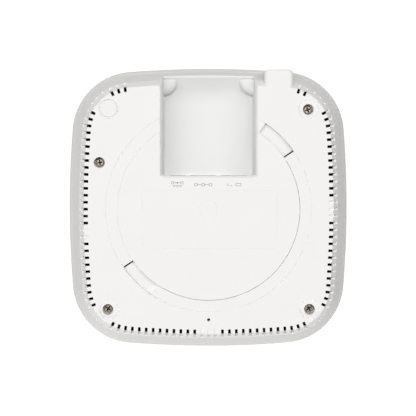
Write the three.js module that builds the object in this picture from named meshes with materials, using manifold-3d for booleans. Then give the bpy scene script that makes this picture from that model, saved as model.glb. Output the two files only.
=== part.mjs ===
// Ceiling access point, seen from its back: a soft-square plastic housing with a pocket for the cables,
// vent slots round its edge and two bayonet recesses that hang it on a ceiling bracket.
// Millimetres. The origin is the centre of the flat back face, +Z points to the ceiling, and +Y to the
// side where the cables leave. The domed front faces down, towards -Z.
import * as THREE from "three";
import { mergeVertices } from "three/addons/utils/BufferGeometryUtils.js";
import Module from "manifold-3d";

const wasm = await Module();
wasm.setup();

// ---------------------------------------------------------------- driving dimensions
const GAP = 0.3; // between pieces that touch
const OVERCUT = 1; // how far a cutting solid runs past the face it opens

// The outline is a square with slightly bulging sides; smaller outlines are parallel to the rim's.
const RIM_HALF = 95;
const SIDE_RADIUS = 660;
const CORNER_RADIUS = 42;
const SIDE_STEPS = 3; // facets on half a side
const CORNER_STEPS = 8; // facets on a corner

const PLATE_HALF = 82.8; // flat back plate
const PLATE_THICK = 2.4;
const EDGE_BREAK = 0.5;
const BEND = { half: PLATE_HALF + 3.8, z: -5.5 }; // the bevel is steeper below here
const PARTING_HALF = 92.6; // foot of the rear cover's bevel
const PARTING_Z = -20;
const TONGUE = { half: PARTING_HALF - 2.1, wall: 2, end: PARTING_Z - 3.5 }; // stands inside the front cover
const FRONT_Z = -42; // lowest point of the front cover
const FRONT_WALL = 2.2;
const RIM_Z = -27; // height of the widest section
const DOME_FLAT = 58; // half-width of the flat middle of the front
const DOME_STEPS = 6;
const LIP = { half: PARTING_HALF + 0.15, wall: 1.9, drop: 3.2, lean: 0.7 }; // the front cover's upper edge

const VENT_PITCH = 4.63;
const VENT_WIDTH = 1.5;
const VENT_INNER = 2.6; // from the plate's edge inwards
const VENT_OUTER = 3.4; // from the plate's edge outwards, down the bevel
const VENT_LAST = 14; // vents run from -14 to 14 on a side
const BLIND_DEPTH = 0.8;
const CORNER_NOTCH = [2.7, 4]; // from the plate's edge outwards
const CORNER_NOTCH_TURN = THREE.MathUtils.degToRad(8.5);
const VENT_SIDES = [
  { turn: 0, indices: [-VENT_LAST, VENT_LAST], blind: [-1, 0, 1] }, // right
  { turn: 1, indices: [-VENT_LAST, -VENT_LAST + 1], blind: [] }, // cable side, right end
  { turn: 1, indices: [VENT_LAST - 2, VENT_LAST], blind: [] }, // cable side, left end
  { turn: 2, indices: [-VENT_LAST, VENT_LAST], blind: [3, 4] }, // left
  { turn: 3, indices: [-VENT_LAST, VENT_LAST], blind: [-1, 0, 1] }, // far from the cables
];

const POCKET = { left: -31.1, right: 31.2, low: 22.3, floor: -20, wall: 2.1 };
const POCKET_BEVEL = { across: 1.2, down: 1.8 }; // round the pocket's mouth, outside its walls
// Towards the outlet the pocket's floor rises along an arc, up to a lip that follows the outline.
const SCOOP = { start: 69.5, end: 88, top: -13.1 };
const POCKET_LIP = { half: 88.4, top: -12.7 };
const GUSSET = { radius: 10.7, top: -12.3, y: 86.9 }; // quarter discs beside the outlet

const LUG = { left: 36.8, right: 56.5, inner: 72, outer: 92.7, round: 3.2, wall: 2.5 };
const LOCK_SLOT = { width: 7, height: 3, z: -10 };

// The two recesses for the bracket's tabs; radii and depth in mm, the rest in degrees round Z.
const BAYONET = { inner: 60.7, outer: 68.5, start: 34, end: 56.6, depth: 2.6, wall: 1.6, endWall: 2 };
// A tab turns this far in under the plate from a recess's clockwise end.
const UNDERCUT = { degrees: 4.5, meet: 1.4, top: -1.3, floor: -3 };
const SLIT = { from: 0.1, to: 0.9, inset: 0.3 }; // right through each undercut's floor, in degrees and mm

const SCREW_PLACES = {
  top_right: [66.2, 66.2],
  bottom_left: [-67.1, -66.8],
  bottom_right: [67.2, -66.8],
  left: [-72.6, 31],
  sealed: [-66.3, 66.5],
};
const WELL_RADIUS = 3.6;
const WELL_FLOOR = -8;
const WELL_TUBE_RADIUS = 5.4;
const WELL_TUBE_END = -10;
const RING = { radius: 6.4, depth: 0.35 }; // shallow round recess about a well
const OFF_CENTRE_RING = { name: "bottom_left", at: [-66.1, -67] };
const SEAL = { radius: 5.3, top: -0.1, bottom: -0.4 };
const CASE_SCREW = { head: 3.0, headHeight: 1.9, shank: 1.35, length: 9, hole: 1.7 };
const INSERT = { outer: 2.3, inner: 1.65, length: 5.5 };
const BOSS = { radius: 4, foot: FRONT_Z + 3, boreDepth: 9 };
const SCREW_SIDES = 14;

const RESET = { x: 0, y: -73.7, hole: 1, tube: 2.6, tubeEnd: -11 };
const LIGHT = { x: 0, y: -58, hole: 1.6 };

const BOARD = { half: 61, low: -78, high: 72, top: -18, thick: 1.6 };
const BOARD_SCREW_PLACES = [
  [44, -16],
  [-44, -16],
  [44, -54],
  [-44, -54],
];
const POST_RADIUS = 3.2;
const BOARD_SCREW = { head: 2.5, headHeight: 1.7, shank: 1.1, length: 15, hole: 1.6, boreDepth: 8.5 };

const JACK_FACE_Y = 20.8;
const NETWORK_JACK = { width: 16, depth: 18, height: 13.2, skin: 0.5 };
const JACK_MOUTH = { width: 12, height: 8.4, depth: 13.5, sill: 2.2 };
const LATCH_NOTCH = { width: 6.2, height: 1.4 };
const LAN_X = -3.6;
const CONSOLE_X = 16.9;
const POWER_JACK = { x: -20.8, width: 9, depth: 14, height: 11, bore: 3.15, boreDepth: 9.6, pin: 1.05 };
const PORT_MARGIN = 0.6; // round each jack in the pocket's wall

const SINK = { half: 50, low: -60, high: -10, bottom: -14.5, base: 2 };
const FIN = { top: -6.2, thick: 1.4, pitch: 8, pairs: 4, inset: 2, split: 2 }; // cooling fins, in two rows
const CHIP_TOP = -16.2;

// ---------------------------------------------------------------- materials
function finish(color, roughness, metalness = 0) {
  return () => new THREE.MeshStandardMaterial({ color, roughness, metalness });
}
const whitePlastic = finish(0xf1f0ee, 0.5);
const sealPaper = finish(0xf4f4f2, 0.65);
const blackPlastic = finish(0x1b1b1c, 0.5);
const boardGreen = finish(0x1f5136, 0.45);
const steel = finish(0x8f857a, 0.35, 1);
const tinnedSteel = finish(0xc4c5c6, 0.35, 1);
const brass = finish(0xb8974f, 0.35, 1);
const gold = finish(0xd6aa4a, 0.3, 1);
const aluminium = finish(0xb9bcc0, 0.4, 1);
const chipBlack = finish(0x232426, 0.6);
const padGrey = finish(0x8d95a0, 0.8);
const capacitorSleeve = finish(0x2a2e3c, 0.4);
const ferrite = finish(0x3c3b3a, 0.7);
const lightPlastic = finish(0xf6f8fa, 0.15);
const cableBlack = finish(0x2a2a2c, 0.5);

// ---------------------------------------------------------------- geometry helpers
function signedVolume(positions, index) {
  const [a, b, c] = [new THREE.Vector3(), new THREE.Vector3(), new THREE.Vector3()];
  let volume = 0;
  for (let i = 0; i < index.length; i += 3) {
    a.fromArray(positions, 3 * index[i]);
    b.fromArray(positions, 3 * index[i + 1]);
    c.fromArray(positions, 3 * index[i + 2]);
    volume += a.dot(b.cross(c)) / 6;
  }
  return volume;
}

// Turns a closed geometry into a solid, dropping the flat triangles that a lathe leaves on its axis.
function toSolid(geometry) {
  const bare = geometry.clone();
  bare.deleteAttribute("normal");
  bare.deleteAttribute("uv");
  const merged = mergeVertices(bare, 1e-4);
  const positions = merged.attributes.position.array;
  const triangles = [];
  for (let i = 0; i < merged.index.count; i += 3) {
    const [p, q, r] = [0, 1, 2].map((corner) => merged.index.getX(i + corner));
    if (p !== q && q !== r && r !== p) triangles.push(p, q, r);
  }
  if (signedVolume(positions, triangles) < 0) triangles.reverse();
  const mesh = new wasm.Mesh({
    numProp: 3,
    vertProperties: positions,
    triVerts: Uint32Array.from(triangles),
  });
  return new wasm.Manifold(mesh);
}

function toGeometry(solid) {
  const mesh = solid.getMesh();
  const geometry = new THREE.BufferGeometry();
  geometry.setAttribute("position", new THREE.BufferAttribute(mesh.vertProperties, 3));
  geometry.setIndex(new THREE.BufferAttribute(mesh.triVerts, 1));
  geometry.computeVertexNormals();
  return geometry;
}

function joined(solids) {
  return solids.reduce((whole, solid) => whole.add(solid));
}

function box([x0, y0, z0], [x1, y1, z1]) {
  const geometry = new THREE.BoxGeometry(x1 - x0, y1 - y0, z1 - z0);
  geometry.translate((x0 + x1) / 2, (y0 + y1) / 2, (z0 + z1) / 2);
  return toSolid(geometry);
}

function rod([x, y], radius, z0, z1, sides = 20) {
  const geometry = new THREE.CylinderGeometry(radius, radius, z1 - z0, sides);
  geometry.rotateX(Math.PI / 2);
  geometry.translate(x, y, (z0 + z1) / 2);
  return toSolid(geometry);
}

// A solid turned about the Z axis from (radius, z) points that start and end on the axis.
function turned(profile, sides = 20) {
  const geometry = new THREE.LatheGeometry(profile.map((point) => new THREE.Vector2(...point)), sides);
  geometry.rotateX(Math.PI / 2);
  return toSolid(geometry);
}

// A flat ring segment round the Z axis, between two angles in degrees.
function ringSegment(inner, outer, startDegrees, endDegrees, z0, z1) {
  const [start, end] = [startDegrees, endDegrees].map(THREE.MathUtils.degToRad);
  const shape = new THREE.Shape();
  shape.absarc(0, 0, outer, start, end, false);
  shape.absarc(0, 0, inner, end, start, true);
  const geometry = new THREE.ExtrudeGeometry(shape, {
    depth: z1 - z0,
    bevelEnabled: false,
    curveSegments: 6,
  });
  geometry.translate(0, 0, z0);
  return toSolid(geometry);
}

// ---------------------------------------------------------------- the soft-square outline
// The corner arc touches the side arc, so its centre c obeys
// (c + SIDE_RADIUS - RIM_HALF)^2 + c^2 = (SIDE_RADIUS - CORNER_RADIUS)^2.
function cornerCentre() {
  const reach = SIDE_RADIUS - RIM_HALF;
  const span = SIDE_RADIUS - CORNER_RADIUS;
  return (Math.sqrt(2 * span * span - reach * reach) - reach) / 2;
}
const CORNER_CENTRE = cornerCentre();
const TANGENT_ANGLE = Math.atan2(CORNER_CENTRE, CORNER_CENTRE + SIDE_RADIUS - RIM_HALF);

function onSide(angle, halfWidth) {
  const radius = SIDE_RADIUS - (RIM_HALF - halfWidth);
  return [RIM_HALF - SIDE_RADIUS + radius * Math.cos(angle), radius * Math.sin(angle)];
}

function onCorner(angle, halfWidth) {
  const radius = CORNER_RADIUS - (RIM_HALF - halfWidth);
  return [CORNER_CENTRE + radius * Math.cos(angle), CORNER_CENTRE + radius * Math.sin(angle)];
}

const QUARTER_STEPS = 2 * SIDE_STEPS + CORNER_STEPS;
const OUTLINE_STEPS = 4 * QUARTER_STEPS;

// Point number `step` of the outline with this half-width, counted from the middle of the right side.
function outlinePoint(step, halfWidth) {
  if (halfWidth === 0) return [0, 0];
  const quarter = Math.floor(step / QUARTER_STEPS);
  const part = step % QUARTER_STEPS;
  let point;
  if (part < SIDE_STEPS) {
    point = onSide((TANGENT_ANGLE * part) / SIDE_STEPS, halfWidth);
  } else if (part <= SIDE_STEPS + CORNER_STEPS) {
    const share = (part - SIDE_STEPS) / CORNER_STEPS;
    point = onCorner(THREE.MathUtils.lerp(TANGENT_ANGLE, Math.PI / 2 - TANGENT_ANGLE, share), halfWidth);
  } else {
    point = onSide((TANGENT_ANGLE * (QUARTER_STEPS - part)) / SIDE_STEPS, halfWidth).reverse();
  }
  const turnedPoint = new THREE.Vector2(...point).rotateAround(new THREE.Vector2(), (quarter * Math.PI) / 2);
  return turnedPoint.toArray();
}

// A lathe whose circle is the soft square: profile points are (half-width, z).
function softSquare(profile) {
  const points = profile.map((point) => new THREE.Vector2(...point));
  const geometry = new THREE.LatheGeometry(points, OUTLINE_STEPS);
  const position = geometry.attributes.position;
  for (let i = 0; i < position.count; i += 1) {
    const step = Math.floor(i / profile.length) % OUTLINE_STEPS;
    const [halfWidth, z] = profile[i % profile.length];
    position.setXYZ(i, ...outlinePoint(step, halfWidth), z);
  }
  return toSolid(geometry);
}

// Where the outline is, and which way it faces, at a distance along it from the middle of the right side.
function alongOutline(distance, halfWidth) {
  const sideLength = (SIDE_RADIUS - (RIM_HALF - halfWidth)) * TANGENT_ANGLE;
  const cornerRadius = CORNER_RADIUS - (RIM_HALF - halfWidth);
  const length = Math.abs(distance);
  const onStraight = length < sideLength;
  const angle = onStraight
    ? (length / sideLength) * TANGENT_ANGLE
    : TANGENT_ANGLE + (length - sideLength) / cornerRadius;
  const [x, y] = onStraight ? onSide(angle, halfWidth) : onCorner(angle, halfWidth);
  const sign = Math.sign(distance) || 1;
  return { x, y: sign * y, angle: sign * angle };
}

// ---------------------------------------------------------------- rear cover
function bevelZ(halfWidth) {
  return halfWidth < BEND.half
    ? THREE.MathUtils.mapLinear(halfWidth, PLATE_HALF, BEND.half, -EDGE_BREAK, BEND.z)
    : THREE.MathUtils.mapLinear(halfWidth, BEND.half, PARTING_HALF, BEND.z, PARTING_Z);
}

function ventCut(side, index, reach, low) {
  const [from, to] = reach;
  const geometry = new THREE.BoxGeometry(to - from, VENT_WIDTH, OVERCUT - low);
  geometry.translate((from + to) / 2, 0, (low + OVERCUT) / 2);
  const place = alongOutline(index * VENT_PITCH, PLATE_HALF);
  geometry.rotateZ(place.angle);
  geometry.translate(place.x, place.y, 0);
  geometry.rotateZ((side.turn * Math.PI) / 2);
  return toSolid(geometry);
}

// Three short notches in the bevel carry the row of vents round a corner.
function cornerNotches() {
  const [from, to] = CORNER_NOTCH;
  const low = bevelZ(PLATE_HALF + to);
  const cuts = [];
  for (let corner = 0; corner < 4; corner += 1) {
    for (const step of [-1, 0, 1]) {
      const geometry = new THREE.BoxGeometry(to - from, VENT_WIDTH, OVERCUT - low);
      const angle = Math.PI / 4 + step * CORNER_NOTCH_TURN;
      const [x, y] = onCorner(angle, PLATE_HALF);
      geometry.translate((from + to) / 2, 0, (low + OVERCUT) / 2);
      geometry.rotateZ(angle);
      geometry.translate(x, y, 0);
      geometry.rotateZ((corner * Math.PI) / 2);
      cuts.push(toSolid(geometry));
    }
  }
  return joined(cuts);
}

// Each vent is a notch over the plate's edge; the blind ones keep their floor.
function vents() {
  const low = bevelZ(PLATE_HALF + VENT_OUTER);
  const cuts = [];
  for (const side of VENT_SIDES) {
    for (let index = side.indices[0]; index <= side.indices[1]; index += 1) {
      if (side.blind.includes(index)) {
        cuts.push(ventCut(side, index, [-VENT_INNER, EDGE_BREAK], -BLIND_DEPTH));
        cuts.push(ventCut(side, index, [EDGE_BREAK, VENT_OUTER], low));
      } else {
        cuts.push(ventCut(side, index, [-VENT_INNER, VENT_OUTER], low));
      }
    }
  }
  return joined(cuts);
}

// Outside of the rear cover: plate, bevel and the tongue that stands inside the front cover.
const REAR_OUTSIDE = [
  [0, 0],
  [PLATE_HALF - EDGE_BREAK, 0],
  [PLATE_HALF, -EDGE_BREAK],
  [BEND.half, BEND.z],
  [PARTING_HALF, PARTING_Z],
  [TONGUE.half, PARTING_Z],
  [TONGUE.half, TONGUE.end],
];

function rearShell() {
  return softSquare([
    ...REAR_OUTSIDE,
    [TONGUE.half - TONGUE.wall, TONGUE.end],
    [TONGUE.half - TONGUE.wall, PARTING_Z + 0.5],
    [PLATE_HALF + 0.8, BEND.z],
    [PLATE_HALF - 1.6, -PLATE_THICK],
    [0, -PLATE_THICK],
  ]);
}

function pocketBlock() {
  const block = box(
    [POCKET.left - POCKET.wall, POCKET.low - POCKET.wall, POCKET.floor - POCKET.wall],
    [POCKET.right + POCKET.wall, RIM_HALF, 0],
  );
  return block.intersect(softSquare([...REAR_OUTSIDE, [0, TONGUE.end]]));
}

// A bar along the pocket with an arc of the rising floor on top; `sink` lowers the arc.
function scoopBar(left, right, sink) {
  const end = RIM_HALF + 2 * OVERCUT;
  const [run, rise] = [SCOOP.end - SCOOP.start, SCOOP.top - POCKET.floor];
  const radius = (run * run + rise * rise) / (2 * rise);
  const sweep = Math.asin(run / radius);
  const foot = POCKET.floor - sink;
  const low = foot - OVERCUT - sink;
  const shape = new THREE.Shape();
  shape.moveTo(SCOOP.start, low);
  shape.lineTo(SCOOP.start, foot);
  shape.absarc(SCOOP.start, foot + radius, radius, -Math.PI / 2, sweep - Math.PI / 2, false);
  shape.lineTo(end, SCOOP.top - sink);
  shape.lineTo(end, low);
  const geometry = new THREE.ExtrudeGeometry(shape, {
    depth: right - left,
    bevelEnabled: false,
    curveSegments: 6,
  });
  geometry.rotateX(Math.PI / 2);
  geometry.rotateZ(Math.PI / 2);
  geometry.translate(left, 0, 0);
  return toSolid(geometry);
}

// Below the rising floor the pocket's block is hollow, so the floor keeps its thickness.
function underScoop() {
  const end = TONGUE.half - TONGUE.wall - POCKET.wall;
  const room = box([POCKET.left, SCOOP.start, TONGUE.end - OVERCUT], [POCKET.right, end, 0]);
  return scoopBar(POCKET.left, POCKET.right, POCKET.wall).intersect(room);
}

function gusset(x, direction) {
  const shape = new THREE.Shape();
  shape.moveTo(-direction * OVERCUT, 0);
  shape.lineTo(direction * GUSSET.radius, 0);
  shape.absarc(0, 0, GUSSET.radius, direction > 0 ? 0 : Math.PI, -Math.PI / 2, direction > 0);
  shape.lineTo(-direction * OVERCUT, -GUSSET.radius);
  const geometry = new THREE.ExtrudeGeometry(shape, {
    depth: GUSSET.top - POCKET.floor + OVERCUT,
    bevelEnabled: false,
    curveSegments: 6,
  });
  geometry.translate(x, GUSSET.y, POCKET.floor - OVERCUT);
  return toSolid(geometry);
}

function pocketLip(left, right) {
  const low = POCKET.floor - OVERCUT;
  const bar = box([left, SCOOP.end - 3, low], [right, RIM_HALF + OVERCUT, POCKET_LIP.top]);
  return bar.subtract(softSquare([
    [0, low - OVERCUT],
    [POCKET_LIP.half, low - OVERCUT],
    [POCKET_LIP.half, OVERCUT],
    [0, OVERCUT],
  ]));
}

// The bevel round the mouth: a trapezoid along the pocket, and the same slope at its low end.
function pocketMouth() {
  const { across, down } = POCKET_BEVEL;
  const sheet = 0.01; // the hull spans two thin sheets
  const end = RIM_HALF + OVERCUT;
  const grown = across + (across * OVERCUT) / down;
  const low = box([POCKET.left, POCKET.low, -down], [POCKET.right, end, -down + sheet]);
  const high = box(
    [POCKET.left - grown, POCKET.low - grown, OVERCUT],
    [POCKET.right + grown, end, OVERCUT + sheet],
  );
  return wasm.Manifold.hull([low, high]);
}

function pocketVoid() {
  const trough = box(
    [POCKET.left, POCKET.low, POCKET.floor],
    [POCKET.right, RIM_HALF + OVERCUT, OVERCUT],
  );
  const [left, right] = [POCKET.left - 2 * OVERCUT, POCKET.right + 2 * OVERCUT];
  const standing = [
    scoopBar(left, right, 0),
    pocketLip(left, right),
    gusset(POCKET.left, 1),
    gusset(POCKET.right, -1),
  ];
  return trough.add(pocketMouth()).subtract(joined(standing));
}

// Openings in the pocket's low wall, one round each jack.
function portOpenings() {
  const top = BOARD.top + GAP;
  const jacks = [
    [LAN_X, NETWORK_JACK],
    [CONSOLE_X, NETWORK_JACK],
    [POWER_JACK.x, POWER_JACK],
  ];
  const cuts = jacks.map(([x, jack]) => {
    const half = jack.width / 2 + PORT_MARGIN;
    return box(
      [x - half, POCKET.low - POCKET.wall - OVERCUT, top - PORT_MARGIN],
      [x + half, POCKET.low + OVERCUT, top + jack.height + PORT_MARGIN],
    );
  });
  return joined(cuts);
}

// The lug's section, seen along Y, with its two upper edges rounded.
function lugBar(inset, y0, y1) {
  const [left, right] = [LUG.left + inset, LUG.right - inset];
  const radius = Math.max(LUG.round - inset, 0.5);
  const [top, bottom] = [-inset, PARTING_Z];
  const shape = new THREE.Shape();
  shape.moveTo(left, bottom);
  shape.lineTo(right, bottom);
  shape.lineTo(right, top - radius);
  shape.absarc(right - radius, top - radius, radius, 0, Math.PI / 2, false);
  shape.lineTo(left + radius, top);
  shape.absarc(left + radius, top - radius, radius, Math.PI / 2, Math.PI, false);
  const geometry = new THREE.ExtrudeGeometry(shape, {
    depth: y1 - y0,
    bevelEnabled: false,
    curveSegments: 4,
  });
  geometry.rotateX(Math.PI / 2);
  geometry.translate(0, y1, 0);
  return toSolid(geometry);
}

function lockSlot() {
  const middle = (LUG.left + LUG.right) / 2;
  return box(
    [middle - LOCK_SLOT.width / 2, LUG.outer - LUG.wall - OVERCUT, LOCK_SLOT.z - LOCK_SLOT.height / 2],
    [middle + LOCK_SLOT.width / 2, LUG.outer + OVERCUT, LOCK_SLOT.z + LOCK_SLOT.height / 2],
  );
}

function bayonetWall(turn) {
  const { inner, outer, start, end, wall, endWall } = BAYONET;
  const from = start - UNDERCUT.degrees - endWall + turn;
  const to = end + endWall + turn;
  return ringSegment(inner - wall, outer + wall, from, to, UNDERCUT.floor - wall, -PLATE_THICK / 2);
}

function bayonetVoid(turn) {
  const { inner, outer, start, end, depth, wall } = BAYONET;
  const open = ringSegment(inner, outer, start + turn, end + turn, -depth, OVERCUT);
  const from = start - UNDERCUT.degrees + turn;
  const to = start + UNDERCUT.meet + turn;
  const under = ringSegment(inner, outer, from, to, UNDERCUT.floor, UNDERCUT.top);
  const slit = ringSegment(
    inner + SLIT.inset,
    outer - SLIT.inset,
    start + SLIT.from + turn,
    start + SLIT.to + turn,
    UNDERCUT.floor - wall - OVERCUT,
    -depth / 2,
  );
  return joined([open, under, slit]);
}

function rearCover() {
  const screws = Object.entries(SCREW_PLACES);
  const tubes = screws.map(([, place]) => rod(place, WELL_TUBE_RADIUS, WELL_TUBE_END, -PLATE_THICK / 2, 24));
  const wells = screws.map(([, place]) => rod(place, WELL_RADIUS, WELL_FLOOR, OVERCUT, 24));
  const holes = screws.map(([, place]) => rod(place, CASE_SCREW.hole, WELL_TUBE_END - OVERCUT, OVERCUT, 16));
  const rings = screws
    .filter(([name]) => name !== "left")
    .map(([name, place]) => {
      const depth = name === "sealed" ? -SEAL.bottom + GAP : RING.depth;
      const middle = name === OFF_CENTRE_RING.name ? OFF_CENTRE_RING.at : place;
      return rod(middle, RING.radius, -depth, OVERCUT, 32);
    });
  const resetPlace = [RESET.x, RESET.y];
  const solid = joined([
    rearShell(),
    pocketBlock(),
    lugBar(0, LUG.inner, LUG.outer),
    bayonetWall(0),
    bayonetWall(180),
    rod(resetPlace, RESET.tube, RESET.tubeEnd, -PLATE_THICK / 2, 16),
    ...tubes,
  ]);
  const cuts = joined([
    pocketVoid(),
    underScoop(),
    portOpenings(),
    lugBar(LUG.wall, LUG.inner, LUG.outer - LUG.wall),
    box(
      [LUG.left + LUG.wall, LUG.inner, PARTING_Z - 4],
      [LUG.right - LUG.wall, LUG.outer - LUG.wall - 2.4, PARTING_Z + 1],
    ),
    lockSlot(),
    bayonetVoid(0),
    bayonetVoid(180),
    rod(resetPlace, RESET.hole, RESET.tubeEnd - OVERCUT, OVERCUT, 16),
    vents(),
    cornerNotches(),
    ...wells,
    ...holes,
    ...rings,
  ]);
  return solid.subtract(cuts);
}

// ---------------------------------------------------------------- front cover

// Half of a rounded dome's section: a quarter ellipse from the flat middle out to the widest section.
function domeArc(flatHalf, rimHalf, lowZ) {
  const points = [];
  for (let i = 0; i <= DOME_STEPS; i += 1) {
    const angle = (i / DOME_STEPS) * (Math.PI / 2);
    const halfWidth = flatHalf + (rimHalf - flatHalf) * Math.sin(angle);
    points.push([halfWidth, RIM_Z + (lowZ - RIM_Z) * Math.cos(angle)]);
  }
  return points;
}

// Above its widest section the wall leans in, to lie flush under the foot of the rear cover's bevel.
function frontShell() {
  const top = PARTING_Z - GAP;
  const innerLow = FRONT_Z + FRONT_WALL;
  return softSquare([
    [0, FRONT_Z],
    ...domeArc(DOME_FLAT, RIM_HALF, FRONT_Z),
    [RIM_HALF - LIP.lean, top - LIP.drop],
    [LIP.half, top],
    [LIP.half - LIP.wall, top],
    [LIP.half - LIP.wall, top - LIP.drop],
    ...domeArc(DOME_FLAT - 1, RIM_HALF - FRONT_WALL, innerLow).reverse(),
    [0, innerLow],
  ]);
}

function frontCover() {
  const bossTop = WELL_TUBE_END - GAP;
  const places = Object.values(SCREW_PLACES);
  const bosses = places.map((place) => rod(place, BOSS.radius, BOSS.foot, bossTop, 20));
  const bores = places.map((place) =>
    rod(place, INSERT.outer + GAP, bossTop - BOSS.boreDepth, bossTop + OVERCUT, 16),
  );
  const postTop = BOARD.top - BOARD.thick - GAP;
  const posts = BOARD_SCREW_PLACES.map((place) => rod(place, POST_RADIUS, FRONT_Z + 1, postTop, 16));
  const postBores = BOARD_SCREW_PLACES.map((place) =>
    rod(place, BOARD_SCREW.shank + GAP, postTop - BOARD_SCREW.boreDepth, postTop + OVERCUT, 12),
  );
  const lightPlace = [LIGHT.x, LIGHT.y];
  const lightHole = rod(lightPlace, LIGHT.hole, FRONT_Z - OVERCUT, FRONT_Z + FRONT_WALL + OVERCUT, 16);
  const cuts = joined([lightHole, ...bores, ...postBores]);
  return joined([frontShell(), ...bosses, ...posts]).subtract(cuts);
}

// ---------------------------------------------------------------- fasteners
// Pan-head screw with a cross recess; its head's underside is at z = 0 and its shank points to -Z.
function panScrew({ head, headHeight, shank, length }) {
  const solid = turned([
    [0, headHeight],
    [head * 0.7, headHeight],
    [head, headHeight * 0.5],
    [head, 0],
    [shank, 0],
    [shank, -length],
    [0, -length],
  ], SCREW_SIDES);
  const arm = head * 0.55;
  const slot = head * 0.14;
  const recess = joined([
    box([-arm, -slot, headHeight * 0.4], [arm, slot, headHeight + OVERCUT]),
    box([-slot, -arm, headHeight * 0.4], [slot, arm, headHeight + OVERCUT]),
  ]);
  return solid.subtract(recess);
}

function threadInsert() {
  const bar = rod([0, 0], INSERT.outer, -INSERT.length, 0, 12);
  return bar.subtract(rod([0, 0], INSERT.inner, -INSERT.length - OVERCUT, OVERCUT, 12));
}

function screwSeal() {
  return rod([0, 0], SEAL.radius, SEAL.bottom, SEAL.top, 32);
}

// ---------------------------------------------------------------- circuit board and what stands on it
function boardScrewHoles(z0, z1) {
  return BOARD_SCREW_PLACES.map((place) => rod(place, BOARD_SCREW.hole, z0, z1, 16));
}

function mainBoard() {
  const bottom = BOARD.top - BOARD.thick;
  const board = box([-BOARD.half, BOARD.low, bottom], [BOARD.half, BOARD.high, BOARD.top]);
  const notch = box(
    [
      POCKET.left - POCKET.wall - GAP,
      POCKET.low - POCKET.wall - GAP,
      bottom - OVERCUT,
    ],
    [POCKET.right + POCKET.wall + GAP, BOARD.high + OVERCUT, BOARD.top + OVERCUT],
  );
  return board.subtract(joined([notch, ...boardScrewHoles(bottom - OVERCUT, BOARD.top + OVERCUT)]));
}

function heatSink() {
  const baseTop = SINK.bottom + SINK.base;
  const base = box([-SINK.half, SINK.low, SINK.bottom], [SINK.half, SINK.high, baseTop]);
  const middle = (SINK.low + SINK.high) / 2;
  const fins = [];
  for (let i = -FIN.pairs; i <= FIN.pairs; i += 1) {
    const [left, right] = [i * FIN.pitch - FIN.thick / 2, i * FIN.pitch + FIN.thick / 2];
    fins.push(box([left, SINK.low + FIN.inset, baseTop - 0.5], [right, SINK.high - FIN.inset, FIN.top]));
  }
  const airGap = box(
    [-SINK.half - OVERCUT, middle - FIN.split, baseTop],
    [SINK.half + OVERCUT, middle + FIN.split, FIN.top + OVERCUT],
  );
  const holes = boardScrewHoles(SINK.bottom - OVERCUT, baseTop + OVERCUT);
  return joined([base, ...fins]).subtract(joined([airGap, ...holes]));
}

// A plain block on the board's back side: its footprint is centred on its own origin.
function block(width, depth, z0, z1) {
  return box([-width / 2, -depth / 2, z0], [width / 2, depth / 2, z1]);
}

// A chip package with its edges broken.
function chip(width, depth, z0, z1) {
  const shape = new THREE.Shape();
  const [w, d] = [width / 2 - 0.3, depth / 2 - 0.3];
  shape.moveTo(-w, -d);
  shape.lineTo(w, -d);
  shape.lineTo(w, d);
  shape.lineTo(-w, d);
  const geometry = new THREE.ExtrudeGeometry(shape, {
    depth: z1 - z0 - 0.6,
    bevelThickness: 0.3,
    bevelSize: 0.3,
    bevelSegments: 1,
  });
  geometry.translate(0, 0, z0 + 0.3);
  return toSolid(geometry);
}

function shieldCan(width, depth, height) {
  const skin = 0.5;
  const can = block(width, depth, -height, 0);
  return can.subtract(block(width - 2 * skin, depth - 2 * skin, -height + skin, OVERCUT));
}

function capacitor(radius, height) {
  return turned([
    [0, 0],
    [radius, 0],
    [radius, height - 0.5],
    [radius - 0.5, height],
    [0, height],
  ], 16);
}

// A bobbin between two ferrite halves.
function transformer(width, depth, height) {
  const core = block(width * 0.62, depth, 0, height);
  const bobbin = block(width, depth * 0.62, 0, height * 0.82);
  return core.add(bobbin);
}

// ---------------------------------------------------------------- sockets
// In each socket's own frame z = 0 is its foot and y = 0 its face.
function networkJackShell() {
  const { width, depth, height, skin } = NETWORK_JACK;
  const shell = box([-width / 2, -depth, 0], [width / 2, 0, height]);
  const inside = box(
    [-width / 2 + skin, -depth + skin, skin],
    [width / 2 - skin, OVERCUT, height - skin],
  );
  return shell.subtract(inside);
}

function networkJackInsert() {
  const { width, depth, height, skin } = NETWORK_JACK;
  const inset = skin + GAP;
  const body = box(
    [-width / 2 + inset, -depth + inset, inset],
    [width / 2 - inset, -0.2, height - inset],
  );
  const mouth = box(
    [-JACK_MOUTH.width / 2, -JACK_MOUTH.depth, JACK_MOUTH.sill],
    [JACK_MOUTH.width / 2, OVERCUT, JACK_MOUTH.sill + JACK_MOUTH.height],
  );
  const notchTop = JACK_MOUTH.sill + JACK_MOUTH.height + LATCH_NOTCH.height;
  const notch = box(
    [-LATCH_NOTCH.width / 2, -JACK_MOUTH.depth + 3, JACK_MOUTH.sill + 1],
    [LATCH_NOTCH.width / 2, OVERCUT, notchTop],
  );
  return body.subtract(mouth).subtract(notch);
}

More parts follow.
